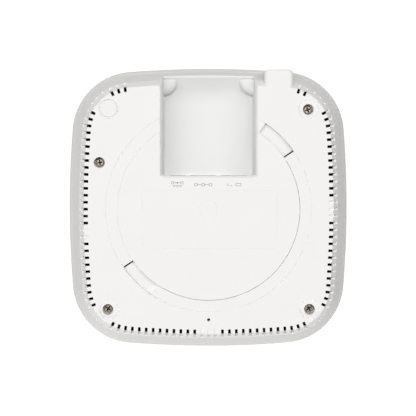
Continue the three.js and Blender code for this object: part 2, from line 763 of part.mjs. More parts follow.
// Eight sprung wires on one comb: they rise from the mouth's sill towards its back.
function networkJackContacts() {
  const pitch = 1.02;
  const wire = 0.4;
  const sill = JACK_MOUTH.sill + GAP;
  const back = -JACK_MOUTH.depth + GAP;
  const comb = box([-4.2, back, sill], [4.2, back + 0.8, sill + 2]);
  const wires = [];
  for (let i = 0; i < 8; i += 1) {
    const x = (i - 3.5) * pitch;
    const shape = new THREE.Shape();
    shape.moveTo(back + 0.4, sill + 2);
    shape.lineTo(back + 0.4, sill + 1.5);
    shape.lineTo(back + 7, sill);
    shape.lineTo(back + 7, sill + 0.45);
    const geometry = new THREE.ExtrudeGeometry(shape, { depth: wire, bevelEnabled: false });
    geometry.rotateY(Math.PI / 2);
    geometry.rotateX(Math.PI / 2);
    geometry.translate(x - wire / 2, 0, 0);
    wires.push(toSolid(geometry));
  }
  return joined([comb, ...wires]);
}

function powerJackBody() {
  const { width, depth, height, bore, boreDepth } = POWER_JACK;
  const body = box([-width / 2, -depth, 0], [width / 2, 0, height]);
  const geometry = new THREE.CylinderGeometry(bore, bore, boreDepth + OVERCUT, 20);
  geometry.translate(0, (OVERCUT - boreDepth) / 2, height / 2 + 0.6);
  return body.subtract(toSolid(geometry));
}

function powerJackPin() {
  const { height, boreDepth, pin } = POWER_JACK;
  const back = -boreDepth + GAP;
  const profile = [
    [0, back],
    [pin, back],
    [pin, -1.6],
    [pin * 0.6, -1.1],
    [0, -1],
  ];
  const geometry = new THREE.LatheGeometry(profile.map((point) => new THREE.Vector2(...point)), 14);
  geometry.translate(0, 0, height / 2 + 0.6);
  return toSolid(geometry);
}

// ---------------------------------------------------------------- reset switch, under its pinhole
const SWITCH = { half: 3, height: 3.4, bore: 1.9, boreFloor: 2 };
const PLUNGER = { radius: 1.6, top: 5.2 };
const SWITCH_TRAVEL = 0.3;

function resetSwitchBody() {
  const body = chip(2 * SWITCH.half, 2 * SWITCH.half, 0, SWITCH.height);
  return body.subtract(rod([0, 0], SWITCH.bore, SWITCH.boreFloor, SWITCH.height + OVERCUT, 20));
}

function resetPlunger() {
  const foot = SWITCH.boreFloor + SWITCH_TRAVEL + 0.1;
  return turned([
    [0, foot],
    [PLUNGER.radius, foot],
    [PLUNGER.radius, PLUNGER.top - 0.3],
    [PLUNGER.radius - 0.3, PLUNGER.top],
    [0, PLUNGER.top],
  ]);
}

// ---------------------------------------------------------------- light
const LIGHT_PIPE_TOP = -23.5;

function lightPipe() {
  const outer = LIGHT.hole - GAP;
  return turned([
    [0, FRONT_Z + 0.1],
    [outer - 0.2, FRONT_Z + 0.1],
    [outer, FRONT_Z + 0.4],
    [outer, FRONT_Z + FRONT_WALL + GAP],
    [outer + 1, FRONT_Z + FRONT_WALL + GAP],
    [outer + 1, FRONT_Z + FRONT_WALL + 1.5],
    [outer, FRONT_Z + FRONT_WALL + 1.5],
    [outer, LIGHT_PIPE_TOP],
    [0, LIGHT_PIPE_TOP],
  ], 12);
}

// ---------------------------------------------------------------- aerials and their leads
const AERIAL = { length: 30, width: 12, sheet: 0.6, drop: 11 };

// A bent strip: a foot on the board, an upright and a long arm parallel to the board.
function aerial() {
  const { length, width, sheet, drop } = AERIAL;
  const foot = block(6, width, -sheet, 0);
  const upright = box([3 - sheet, -width / 2, -drop], [3, width / 2, 0]);
  const arm = box([3 - length, -width / 2, -drop - sheet], [3, width / 2, -drop]);
  return joined([foot, upright, arm]);
}

const LEAD_RADIUS = 0.65;
const LEAD_STEPS = 12;

function lead(points) {
  const path = new THREE.CatmullRomCurve3(points.map((point) => new THREE.Vector3(...point)));
  const shape = new THREE.Shape();
  shape.absarc(0, 0, LEAD_RADIUS, 0, 2 * Math.PI, false);
  const geometry = new THREE.ExtrudeGeometry(shape, {
    steps: LEAD_STEPS,
    extrudePath: path,
    curveSegments: 3,
  });
  return toSolid(geometry);
}

// ---------------------------------------------------------------- assembly
const accessPoint = new THREE.Group();

function place(parent, name, solid, material, [x, y, z] = [0, 0, 0], turnZ = 0) {
  const mesh = new THREE.Mesh(toGeometry(solid), material());
  mesh.name = name;
  mesh.position.set(x, y, z);
  mesh.rotation.z = turnZ;
  parent.add(mesh);
  return mesh;
}

place(accessPoint, "rear_cover", rearCover(), whitePlastic);
place(accessPoint, "front_cover", frontCover(), whitePlastic);

const [sealX, sealY] = SCREW_PLACES.sealed;
place(accessPoint, "screw_seal", screwSeal(), sealPaper, [sealX, sealY, 0]);
for (const [name, [x, y]] of Object.entries(SCREW_PLACES)) {
  const insertTop = WELL_TUBE_END - 2 * GAP;
  place(accessPoint, `case_screw_${name}`, panScrew(CASE_SCREW), steel, [x, y, WELL_FLOOR + GAP]);
  place(accessPoint, `thread_insert_${name}`, threadInsert(), brass, [x, y, insertTop]);
}

const boardGroup = new THREE.Group(); // its origin is the board's back side
boardGroup.position.z = BOARD.top;
accessPoint.add(boardGroup);
place(accessPoint, "main_board", mainBoard(), boardGreen);
place(accessPoint, "heat_sink", heatSink(), aluminium);
BOARD_SCREW_PLACES.forEach(([x, y], i) => {
  const headFoot = SINK.bottom + SINK.base + GAP;
  place(accessPoint, `board_screw_${i + 1}`, panScrew(BOARD_SCREW), tinnedSteel, [x, y, headFoot]);
});

const BOARD_CHIPS = [
  { name: "processor", size: 17, at: [-8, -35] },
  { name: "memory", size: 11, at: [18, -35] },
];
const chipHeight = CHIP_TOP - BOARD.top;
const sinkFoot = SINK.bottom - BOARD.top - GAP;
for (const { name, size, at: [x, y] } of BOARD_CHIPS) {
  place(boardGroup, `${name}_chip`, chip(size, size, GAP, chipHeight), chipBlack, [x, y, 0]);
  const pad = block(size - 1, size - 1, chipHeight + GAP, sinkFoot);
  place(boardGroup, `${name}_thermal_pad`, pad, padGrey, [x, y, 0]);
}

place(boardGroup, "poe_transformer", transformer(17, 15, 10.5), ferrite, [48, 30, GAP]);
place(boardGroup, "power_inductor", chip(12, 12, 0, 6), ferrite, [48, 8, GAP]);
place(boardGroup, "lan_magnetics", chip(16, 8, 0, 6), chipBlack, [LAN_X, -3, GAP]);
place(boardGroup, "capacitor_1", capacitor(4, 10.5), capacitorSleeve, [48, 48, GAP]);
place(boardGroup, "capacitor_2", capacitor(4, 10.5), capacitorSleeve, [-45, 8, GAP]);

const JACKS = [["lan_jack", LAN_X], ["console_jack", CONSOLE_X]];
for (const [name, x] of JACKS) {
  const jack = new THREE.Group();
  jack.position.set(x, JACK_FACE_Y, GAP);
  boardGroup.add(jack);
  place(jack, `${name}_shell`, networkJackShell(), tinnedSteel);
  place(jack, `${name}_insert`, networkJackInsert(), blackPlastic);
  place(jack, `${name}_contacts`, networkJackContacts(), gold);
}

const powerJack = new THREE.Group();
powerJack.position.set(POWER_JACK.x, JACK_FACE_Y, GAP);
boardGroup.add(powerJack);
place(powerJack, "power_jack_body", powerJackBody(), blackPlastic);
place(powerJack, "power_jack_pin", powerJackPin(), tinnedSteel);

const resetSwitch = new THREE.Group();
resetSwitch.position.set(RESET.x, RESET.y, GAP);
boardGroup.add(resetSwitch);
place(resetSwitch, "reset_switch_body", resetSwitchBody(), blackPlastic);
place(resetSwitch, "reset_plunger", resetPlunger(), whitePlastic);

const frontSide = new THREE.Group(); // its origin is just clear of the board's front side
frontSide.position.z = BOARD.top - BOARD.thick - GAP;
accessPoint.add(frontSide);
place(frontSide, "status_light", chip(3.2, 2.8, -1.6, 0), lightPlastic, [LIGHT.x, LIGHT.y, 0]);
place(accessPoint, "light_pipe", lightPipe(), lightPlastic, [LIGHT.x, LIGHT.y, 0]);

for (const [name, x] of [["left", -24], ["right", 24]]) {
  place(frontSide, `radio_shield_${name}`, shieldCan(32, 30, 4), tinnedSteel, [x, -30, 0]);
  place(frontSide, `radio_chip_${name}`, chip(10, 10, -1.6, 0), chipBlack, [x, -30, 0]);
}

const AERIALS = [
  { name: "top_right", at: [49, 62], turn: 0 },
  { name: "top_left", at: [-49, 62], turn: Math.PI },
  { name: "bottom_left", at: [-49, -70], turn: Math.PI },
  { name: "bottom_right", at: [49, -70], turn: 0 },
];
for (const { name, at: [x, y], turn } of AERIALS) {
  place(frontSide, `aerial_${name}`, aerial(), brass, [x, y, 0], turn);
}

// Each lead lies on the board's front side, from a shield's edge to an aerial's foot.
const LEAD_Z = -LEAD_RADIUS - 0.1;
const UPPER_ROUTE = [[34, -12], [40, -5], [46, 6], [51, 20], [54, 35], [52, 48], [49, 54]];
const LOWER_ROUTE = [[34, -47], [36, -52], [39, -57], [44, -61]];
for (const [side, mirror] of [["right", 1], ["left", -1]]) {
  const upper = UPPER_ROUTE.map(([x, y]) => [mirror * x, y, LEAD_Z]);
  const lower = LOWER_ROUTE.map(([x, y]) => [mirror * x, y, LEAD_Z]);
  place(frontSide, `aerial_lead_top_${side}`, lead(upper), cableBlack);
  place(frontSide, `aerial_lead_bottom_${side}`, lead(lower), cableBlack);
}

export default accessPoint;
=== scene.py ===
import math

import bmesh
import bpy
from mathutils import Matrix, Vector


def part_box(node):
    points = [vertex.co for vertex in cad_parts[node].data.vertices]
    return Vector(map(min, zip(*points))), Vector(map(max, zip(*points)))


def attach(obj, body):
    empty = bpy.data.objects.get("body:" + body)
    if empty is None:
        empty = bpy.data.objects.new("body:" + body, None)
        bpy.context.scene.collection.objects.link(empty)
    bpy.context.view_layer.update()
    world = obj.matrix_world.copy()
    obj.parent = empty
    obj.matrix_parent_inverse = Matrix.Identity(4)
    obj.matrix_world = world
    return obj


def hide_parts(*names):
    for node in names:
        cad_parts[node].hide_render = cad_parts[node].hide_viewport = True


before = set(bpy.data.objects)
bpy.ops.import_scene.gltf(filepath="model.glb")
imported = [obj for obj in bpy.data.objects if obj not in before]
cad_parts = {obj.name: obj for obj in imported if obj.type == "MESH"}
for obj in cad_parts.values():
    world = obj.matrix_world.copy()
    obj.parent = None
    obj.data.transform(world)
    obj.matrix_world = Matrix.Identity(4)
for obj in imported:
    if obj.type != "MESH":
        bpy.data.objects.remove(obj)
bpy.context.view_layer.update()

MM = 0.001
OVER = 1.0  # how far a cutter runs past the face it opens
FINE_OVER = 0.2  # the same for the finest lines

# ---------------------------------------------------------------- dimensions
RIM_HALF = 95.0  # widest half-width, on the front cover
SIDE_RADIUS = 660.0  # the sides bow out a little
CORNER_RADIUS = 42.0
CAP_HALF = 60.0  # the flat middle of each cover is one face up to here
SUPPORT_HALF = 75.0  # a further outline on the plate, between that face and the plate's edge

PLATE_HALF = 82.8
PLATE_THICK = 2.4
PLATE_ROUND = 0.7  # rounding of the plate's edge
PLATE_EDGE_OUT = 0.05  # the rounding starts this far outside the sharp edge's place
BEVEL_TOP = -0.5  # height of the bevel at the plate's half-width
BEND = {"half": 86.6, "z": -5.5, "soft": 0.3}  # the bevel is steeper below here
BEVEL_INSIDE = {"foot": 0.8, "head": 1.4}  # the hollow's slope runs either side of the plate's edge
PARTING_HALF = 92.6
PARTING_Z = -20.0
PARTING_GAP = 0.3
PARTING_CHAMFER = 0.25
TONGUE_HALF = 90.5
TONGUE_END = -23.5
TONGUE_THICK = 2.0
TONGUE_ROOT = 0.5  # the tongue's inner face runs this far above the parting line

RIM_Z = -27.0
FRONT_Z = -42.0
FRONT_WALL = 2.2
DOME_FLAT = 58.0
RIM_CURVE = {"rise": 2.2, "out": 1.5, "down": 3.0}  # how the rim's side turns in to the lip
LIP = {"out": 0.1, "round": 0.12, "width": 1.8, "depth": 3.2}
BOSS = {"radius": 4.0, "foot": FRONT_Z + 3, "top": -10.3}
BOSS_BORE = {"radius": 2.6, "foot": -19.3, "top": -9.0}
POST = {"radius": 3.2, "foot": FRONT_Z + 1, "top": -19.9}
POST_BORE = {"radius": 1.4, "foot": -28.4, "top": -19.0}
LIGHT_HOLE = {"radius": 1.6, "round": 0.25}

VENT_PITCH = 4.63
VENT_WIDTH = 1.8
VENT_INNER = 2.6  # reach onto the plate from its edge
VENT_OUTER = 3.4  # reach down the bevel from the plate's edge
VENT_PAST = 1.5  # how much further out the cutter goes
VENT_ROUND = 0.35
VENT_LAST = 14
BLIND_DEPTH = 0.8
BLIND_OUTER = 1.2  # a blind vent's shallow part ends here, and its groove starts a little inside
GROOVE_INNER = 0.9
GROOVE_ROUND = 0.3
NOTCH = {"inner": 2.7, "outer": 5.4, "depth_at": 4.0, "step": 8.5}  # blind notches round a corner

POCKET = {"left": -31.1, "right": 31.2, "low": 22.3, "floor": -20.0, "foot": 1.2, "draft": 1.2}
POCKET_BEVEL = {"across": 1.2, "down": 1.8}
TRAY = {"wall": 2.1, "top": -1.0}  # the shell that holds the pocket
TRAY_CLEAR = {"plate": 0.6, "bevel": 0.9, "parting": 0.5, "tongue": 0.4, "end": 0.3}
SCOOP = {"start": 69.5, "end": 88.0, "top": -13.1}  # the pocket's floor rises towards its outlet
POCKET_LIP = {"half": 88.4, "top": -12.7, "round": 0.25, "middle": 0.08}
GUSSET = {"radius": 10.7, "top": -12.3, "y": 86.9, "round": 4.5}
MOUTH = {"side": 0.5, "below": 0.4, "above": 0.5, "corner": 0.5, "deep": 3.2, "past": 0.1}

LUG = {"left": 36.8, "right": 56.5, "inner": 72.0, "outer": 92.7}
LUG_ROUND = {"side": 3.2, "end": 1.3, "corner": 3.0, "least": 0.6}
# Heights of the lug's outlines, closer together where its edge turns fastest.
LUG_LEVELS = (0, -0.1, -0.3, -0.6, -0.95, -1.3, -1.8, -2.4, -3.2, -8.0, PARTING_Z)
LOCK_SLOT = {"half": 3.5, "deep": 3.5, "low": -11.5, "high": -8.5}

BAYONET = {"inner": 60.7, "outer": 68.5, "start": 34.0, "end": 56.6, "depth": 2.6}
BAYONET_TURNS = (0, 180)
BAYONET_WALL = {"thick": 1.6, "before": 6.5, "after": 2.0}
UNDERCUT = {"degrees": 4.5, "meet": 1.4, "top": -1.3, "floor": -3.0}
SLIT = {"from": 0.1, "to": 0.9, "inset": 0.1, "foot": -8.0, "head": -1.4}  # degrees and mm
WALL_HEAD = -1.2  # the inner walls grow out of the plate from here
WELL = {"radius": 3.6, "floor": -8.0, "tube": 5.4, "tube_end": -10.0}
PINHOLE = {"radius": 1.0, "depth": 14.0, "tube": 2.6, "tube_end": -11.0}
RING = {"radius": 6.4, "depth": 0.55, "seal_depth": 0.7}
RING_SHIFTS = {"bottom_left": (1.0, -0.2)}  # this ring isn't round its screw's middle
RINGLESS = "left"  # this screw's well has no ring
RING_LINE = {"width": 0.45, "depth": 0.22, "draft": 0.15, "gap": 0.5}  # gap in degrees
LABEL = {"left": -44.2, "right": 45.5, "low": -26.3, "high": 12.3, "corner": 2.0, "disc": 6.0}

SCREW_HEAD = {"height": 1.9, "shank": 1.35, "foot": 0.15, "skirt": 0.6, "crown": 0.38}
SCREW_CROSS = {"arm": 0.58, "thick": 0.15, "depth": 1.5}  # arm and thick are shares of the radius
SCREW_TURNS = {"top_right": 20, "bottom_left": 55, "bottom_right": 35, "left": 10, "sealed": 0}
SEAL_EDGE = {"low": 0.05, "high": 0.06}


def centre(node):
    low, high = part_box(node)
    return (low + high) / 2 / MM


SCREW_PLACES = {name: centre(f"case_screw_{name}") for name in SCREW_TURNS}
BOARD_SCREW_PLACES = [centre(f"board_screw_{number}") for number in (1, 2, 3, 4)]
RESET = centre("reset_plunger")
LIGHT = centre("light_pipe")


# ---------------------------------------------------------------- materials
def shader(name):
    material = bpy.data.materials.new(name)
    material.use_nodes = True
    nodes = material.node_tree.nodes
    return material, nodes, material.node_tree.links, nodes["Principled BSDF"]


def coordinates(nodes, links, scale):
    """The object's own coordinates, scaled so that 1 is one millimetre times the scale."""
    where = nodes.new("ShaderNodeTexCoord")
    mapping = nodes.new("ShaderNodeMapping")
    mapping.inputs["Scale"].default_value = [axis / MM for axis in scale]
    links.new(where.outputs["Object"], mapping.inputs["Vector"])
    return mapping.outputs["Vector"]


def noise(nodes, links, vector, scale, detail=3.0, rough=0.5):
    texture = nodes.new("ShaderNodeTexNoise")
    texture.inputs["Scale"].default_value = scale
    texture.inputs["Detail"].default_value = detail
    texture.inputs["Roughness"].default_value = rough
    links.new(vector, texture.inputs["Vector"])
    return texture.outputs["Fac"]


def spread(nodes, links, value, low, high):
    """A value from about 0.3 to 0.7 stretched to run from low to high."""
    remap = nodes.new("ShaderNodeMapRange")
    remap.inputs["From Min"].default_value = 0.3
    remap.inputs["From Max"].default_value = 0.7
    remap.inputs["To Min"].default_value = low
    remap.inputs["To Max"].default_value = high
    links.new(value, remap.inputs["Value"])
    return remap.outputs["Result"]


def tinted(nodes, links, value, dark, light):
    mix = nodes.new("ShaderNodeMix")
    mix.data_type = "RGBA"
    mix.inputs["A"].default_value = (*dark, 1)
    mix.inputs["B"].default_value = (*light, 1)
    links.new(value, mix.inputs["Factor"])
    return mix.outputs["Result"]


def bumped(nodes, links, target, height, strength, distance):
    bump = nodes.new("ShaderNodeBump")
    bump.inputs["Strength"].default_value = strength
    bump.inputs["Distance"].default_value = distance * MM
    links.new(height, bump.inputs["Height"])
    links.new(bump.outputs["Normal"], target.inputs["Normal"])


def grained(name, dark, light, rough, grain=2.2, strength=0.25, stretch=(1, 1, 1), metallic=0.0,
            patches=0.05, ior=1.5):
    """A moulded, ground or cast surface: broad patches of tint under a fine grain."""
    material, nodes, links, target = shader(name)
    vector = coordinates(nodes, links, stretch)
    broad = noise(nodes, links, vector, patches, 4.0)
    fine_grain = noise(nodes, links, vector, grain, 2.0, 0.6)
    share = spread(nodes, links, broad, 0.0, 1.0)
    links.new(tinted(nodes, links, share, dark, light), target.inputs["Base Color"])
    links.new(spread(nodes, links, fine_grain, rough[0], rough[1]), target.inputs["Roughness"])
    bumped(nodes, links, target, fine_grain, strength, 0.02)
    target.inputs["Metallic"].default_value = metallic
    target.inputs["IOR"].default_value = ior
    return material


WHITE = grained("white_plastic_look", (0.800, 0.795, 0.785), (0.812, 0.808, 0.799), (0.5, 0.62),
                grain=1.6, strength=0.18, ior=1.4)
SEAL = grained("seal_film_look", (0.780, 0.777, 0.768), (0.795, 0.792, 0.785), (0.5, 0.6),
               grain=0.8, strength=0.08)
BLACK = grained("black_plastic_look", (0.012, 0.012, 0.013), (0.02, 0.02, 0.021), (0.35, 0.55))
IVORY = grained("switch_plastic_look", (0.70, 0.69, 0.65), (0.74, 0.73, 0.69), (0.4, 0.5))
SCREW_STEEL = grained("screw_steel_look", (0.34, 0.29, 0.245), (0.52, 0.465, 0.41), (0.3, 0.45),
                      grain=3.0, strength=0.25, metallic=0.65, patches=0.8)
# Painted shade: the cross recess is painted near black to show the shade inside it.
RECESS_SHADE = grained("screw_recess_shade_look", (0.05, 0.042, 0.035), (0.09, 0.078, 0.066), (0.5, 0.7),
                       grain=3.0, strength=0.25, metallic=1.0, patches=0.8)
TINNED = grained("tinned_steel_look", (0.60, 0.60, 0.61), (0.72, 0.72, 0.73), (0.25, 0.45),
                 grain=1.2, strength=0.1, stretch=(1, 6, 6), metallic=1.0, patches=0.2)
BRASS = grained("brass_look", (0.62, 0.46, 0.20), (0.74, 0.58, 0.28), (0.25, 0.42), metallic=1.0,
                strength=0.1, patches=0.3)
GOLD = grained("gold_plate_look", (0.80, 0.56, 0.20), (0.88, 0.66, 0.28), (0.18, 0.3), metallic=1.0,
               strength=0.05, patches=0.4)
ALUMINIUM = grained("aluminium_look", (0.58, 0.59, 0.60), (0.68, 0.69, 0.70), (0.35, 0.5),
                    grain=1.5, strength=0.15, stretch=(4, 0.5, 1), metallic=1.0, patches=0.1)
CHIP = grained("chip_epoxy_look", (0.014, 0.014, 0.015), (0.024, 0.024, 0.025), (0.5, 0.7),
               grain=4.0, strength=0.3)
PAD = grained("thermal_pad_look", (0.26, 0.29, 0.33), (0.32, 0.35, 0.39), (0.75, 0.9))
SLEEVE = grained("capacitor_sleeve_look", (0.012, 0.016, 0.035), (0.018, 0.024, 0.05), (0.25, 0.35),
                 strength=0.05)
FERRITE = grained("ferrite_look", (0.025, 0.024, 0.023), (0.05, 0.048, 0.046), (0.55, 0.8),
                  grain=3.0, strength=0.5)
JACKET = grained("cable_jacket_look", (0.012, 0.012, 0.013), (0.02, 0.02, 0.022), (0.4, 0.6))
# Painted shade: a near-black material on the covers' inner faces and on the socket openings' walls,
# where the inside of the case lies in shadow.
PAINTED_SHADE = grained("painted_shade_look", (0.010, 0.010, 0.010), (0.016, 0.016, 0.016), (0.6, 0.8))
PRINT = grained("print_look", (0.20, 0.20, 0.20), (0.26, 0.26, 0.255), (0.55, 0.7), grain=3.0,
                strength=0.05)


def circuit_board_look():
    """Green solder mask with tinned pads in rows and broad areas of covered copper."""
    material, nodes, links, target = shader("circuit_board_look")
    vector = coordinates(nodes, links, (1, 1, 1))
    tracks = nodes.new("ShaderNodeTexBrick")
    tracks.offset = 0.35
    tracks.inputs["Scale"].default_value = 0.35
    tracks.inputs["Mortar Size"].default_value = 0.02
    tracks.inputs["Color1"].default_value = (0.010, 0.075, 0.030, 1)
    tracks.inputs["Color2"].default_value = (0.014, 0.100, 0.042, 1)
    tracks.inputs["Mortar"].default_value = (0.006, 0.050, 0.020, 1)
    links.new(vector, tracks.inputs["Vector"])
    pads = nodes.new("ShaderNodeTexVoronoi")
    pads.inputs["Scale"].default_value = 0.22
    pads.inputs["Randomness"].default_value = 0.8
    links.new(vector, pads.inputs["Vector"])
    near = nodes.new("ShaderNodeMath")
    near.operation = "LESS_THAN"
    near.inputs[1].default_value = 0.13
    links.new(pads.outputs["Distance"], near.inputs[0])
    mix = nodes.new("ShaderNodeMix")
    mix.data_type = "RGBA"
    mix.inputs["B"].default_value = (0.60, 0.58, 0.52, 1)
    links.new(near.outputs["Value"], mix.inputs["Factor"])
    links.new(tracks.outputs["Color"], mix.inputs["A"])
    links.new(mix.outputs["Result"], target.inputs["Base Color"])
    links.new(near.outputs["Value"], target.inputs["Metallic"])
    fine_grain = noise(nodes, links, vector, 1.5)
    links.new(spread(nodes, links, fine_grain, 0.25, 0.38), target.inputs["Roughness"])
    bumped(nodes, links, target, tracks.outputs["Fac"], 0.2, 0.03)
    return material


def light_guide_look():
    """Milky clear plastic."""
    material = grained("light_guide_look", (0.86, 0.88, 0.90), (0.90, 0.92, 0.94), (0.12, 0.2),
                       strength=0.04)
    target = material.node_tree.nodes["Principled BSDF"]
    target.inputs["Transmission Weight"].default_value = 0.35
    target.inputs["Subsurface Weight"].default_value = 0.3
    target.inputs["Subsurface Scale"].default_value = 0.5 * MM
    return material


BOARD = circuit_board_look()
GUIDE = light_guide_look()


# ---------------------------------------------------------------- meshes
def make(name, points, faces):
    mesh = bpy.data.meshes.new(name)
    mesh.from_pydata([Vector(point) * MM for point in points], [], faces)
    shape = bmesh.new()
    shape.from_mesh(mesh)
    bmesh.ops.recalc_face_normals(shape, faces=shape.faces)
    shape.to_mesh(mesh)
    shape.free()
    thing = bpy.data.objects.new(name, mesh)
    bpy.context.scene.collection.objects.link(thing)
    return thing


def painted_shade_faces(thing):
    """Every face takes the second material of whatever this cuts, which is a dark painted shade."""
    for face in thing.data.polygons:
        face.material_index = 1
    return thing


def stack(name, rings, painted_shade_from=None):
    """A closed skin over rings of equally many points, with a flat cap at each end.

    Given a ring to start from, it is white plastic with a dark painted shade on the faces from that ring
    on."""
    count = len(rings[0])
    points = [point for ring in rings for point in ring]
    faces = []
    for level in range(len(rings) - 1):
        low, high = level * count, (level + 1) * count
        for i in range(count):
            j = (i + 1) % count
            faces.append((low + i, low + j, high + j, high + i))
    faces.append(tuple(reversed(range(count))))
    faces.append(tuple(range(len(points) - count, len(points))))
    thing = make(name, points, faces)
    if painted_shade_from is not None:
        for look in (WHITE, PAINTED_SHADE):
            thing.data.materials.append(look)
        for face in thing.data.polygons:
            if min(face.vertices) // count >= painted_shade_from:
                face.material_index = 1
    return thing


def merged(name, things):
    """One object from several, which don't touch each other."""
    shape = bmesh.new()
    for thing in things:
        shape.from_mesh(thing.data)
    mesh = bpy.data.meshes.new(name)
    shape.to_mesh(mesh)
    shape.free()
    for thing in things:
        bpy.data.objects.remove(thing)
    whole = bpy.data.objects.new(name, mesh)
    bpy.context.scene.collection.objects.link(whole)
    return whole


def combine(body, tool, operation):
    modifier = body.modifiers.new("combine", "BOOLEAN")
    modifier.operation = operation
    modifier.solver = "MANIFOLD"
    modifier.object = tool
    graph = bpy.context.evaluated_depsgraph_get()
    mesh = bpy.data.meshes.new_from_object(body.evaluated_get(graph))
    body.modifiers.clear()
    body.data = mesh
    bpy.data.objects.remove(tool)
    return body


def cut(body, tool):
    return combine(body, tool, "DIFFERENCE")


def add(body, tool):
    return combine(body, tool, "UNION")


def smooth(thing, degrees=32):
    mesh = thing.data
    mesh.shade_smooth()
    mesh.set_sharp_from_angle(angle=math.radians(degrees))
    weighted = thing.modifiers.new("weighted", "WEIGHTED_NORMAL")
    weighted.keep_sharp = True
    weighted.weight = 80


# ---------------------------------------------------------------- flat outlines, anticlockwise
def circle(x, y, radius, steps=48):
    turn = 2 * math.pi / steps
    return [(x + radius * math.cos(i * turn), y + radius * math.sin(i * turn)) for i in range(steps)]


def round_rect(x0, y0, x1, y1, radius, steps=5):
    points = []
    corners = ((x1 - radius, y0 + radius, -90), (x1 - radius, y1 - radius, 0),
               (x0 + radius, y1 - radius, 90), (x0 + radius, y0 + radius, 180))
    for x, y, start in corners:
        for i in range(steps + 1):
            angle = math.radians(start + 90 * i / steps)
            points.append((x + radius * math.cos(angle), y + radius * math.sin(angle)))
    return points


def fine(points, step):
    """The same outline with points no further apart than step."""
    dense = []
    for i, (x, y) in enumerate(points):
        u, v = points[(i + 1) % len(points)]
        pieces = max(1, math.ceil(math.hypot(u - x, v - y) / step))
        dense += [(x + (u - x) * k / pieces, y + (v - y) * k / pieces) for k in range(pieces)]
    return dense


def arc_slot(inner, outer, start, end, corner, turn=0.0):
    """A ring segment with rounded corners; angles in degrees."""
    middle = (inner + outer) / 2
    low, high = math.radians(start + turn) * middle, math.radians(end + turn) * middle
    flat = fine(round_rect(inner, low, outer, high, corner), 1.2)
    return [(u * math.cos(v / middle), u * math.sin(v / middle)) for u, v in flat]


def offset(points, distance):
    """The outline with every side moved outwards."""
    moved = []
    for i, (x, y) in enumerate(points):
        before = Vector(points[i - 1])
        after = Vector(points[(i + 1) % len(points)])
        here = Vector((x, y))
        a, b = here - before, after - here
        first, second = Vector((a.y, -a.x)).normalized(), Vector((b.y, -b.x)).normalized()
        middle = (first + second).normalized()
        moved.append(here + middle * (distance / max(middle.dot(first), 0.4)))
    return moved


def prism(name, points, levels):
    """Levels are (how far the outline is moved outwards, z)."""
    return stack(name, [[(*point, z) for point in offset(points, out)] for out, z in levels])


def turn_levels(radius, z, start, end, steps=4, out=0.0):
    """A rounded edge as levels: an arc of that radius between two angles, round (out, z)."""
    angles = [math.radians(start + (end - start) * i / steps) for i in range(steps + 1)]
    return [(out + radius * math.cos(angle), z + radius * math.sin(angle)) for angle in angles]


def recess(name, points, depth, top, foot):
    """A cutter from above z = 0: it rounds the mouth's edge and the foot of its walls."""
    levels = [(top, OVER)]
    levels += turn_levels(top, -top, 90, 180, out=top)
    levels += turn_levels(foot, foot - depth, 0, -90, out=-foot)
    return prism(name, points, levels)


def block(name, x0, y0, z0, x1, y1, z1):
    return stack(name, [[(x0, y0, z), (x1, y0, z), (x1, y1, z), (x0, y1, z)] for z in (z0, z1)])


# ---------------------------------------------------------------- the soft square
def corner_centre():
    reach, span = SIDE_RADIUS - RIM_HALF, SIDE_RADIUS - CORNER_RADIUS
    return (math.sqrt(2 * span * span - reach * reach) - reach) / 2


CORNER_CENTRE = corner_centre()
TANGENT = math.atan2(CORNER_CENTRE, CORNER_CENTRE + SIDE_RADIUS - RIM_HALF)
SIDE_STEPS = 10
CORNER_STEPS = 28


def on_side(angle, half):
    radius = SIDE_RADIUS - RIM_HALF + half
    return RIM_HALF - SIDE_RADIUS + radius * math.cos(angle), radius * math.sin(angle)


def on_corner(angle, half):
    radius = CORNER_RADIUS - RIM_HALF + half
    return CORNER_CENTRE + radius * math.cos(angle), CORNER_CENTRE + radius * math.sin(angle)


def quarter_turned(points, turn):
    c, s = ((1, 0), (0, 1), (-1, 0), (0, -1))[turn]
    return [(x * c - y * s, x * s + y * c) for x, y in points]


def soft_square(half):
    quarter = [on_side(TANGENT * i / SIDE_STEPS, half) for i in range(SIDE_STEPS)]
    sweep = math.pi / 2 - 2 * TANGENT
    quarter += [on_corner(TANGENT + sweep * i / CORNER_STEPS, half) for i in range(CORNER_STEPS + 1)]
    mirrored = [on_side(TANGENT * i / SIDE_STEPS, half) for i in range(SIDE_STEPS - 1, 0, -1)]
    quarter += [(y, x) for x, y in mirrored]
    return [point for turn in range(4) for point in quarter_turned(quarter, turn)]


def soft_stack(name, profile, painted_shade_from=None):
    rings = [[(x, y, z) for x, y in soft_square(half)] for half, z in profile]
    return stack(name, rings, painted_shade_from)


def along(distance, half):
    """Where the outline is, and which way it faces, this far from the middle of the right side."""
    side = (SIDE_RADIUS - RIM_HALF + half) * TANGENT
    length = abs(distance)
    if length < side:
        angle = length / side * TANGENT
        x, y = on_side(angle, half)
    else:
        angle = TANGENT + (length - side) / (CORNER_RADIUS - RIM_HALF + half)
        x, y = on_corner(angle, half)
    sign = 1 if distance >= 0 else -1
    return x, sign * y, sign * angle


def placed(points, x, y, angle):
    c, s = math.cos(angle), math.sin(angle)
    return [(x + u * c - v * s, y + u * s + v * c) for u, v in points]


# ---------------------------------------------------------------- rear cover
BEVEL_SLOPE = (BEND["z"] - BEVEL_TOP) / (BEND["half"] - PLATE_HALF)
LOW_SLOPE = (PARTING_Z - BEND["z"]) / (PARTING_HALF - BEND["half"])


def bevel_z(beyond):
    """Height of the bevel, this far beyond the plate's edge."""
    reach = BEND["half"] - PLATE_HALF
    return BEVEL_TOP + BEVEL_SLOPE * min(beyond, reach) + LOW_SLOPE * max(0.0, beyond - reach)


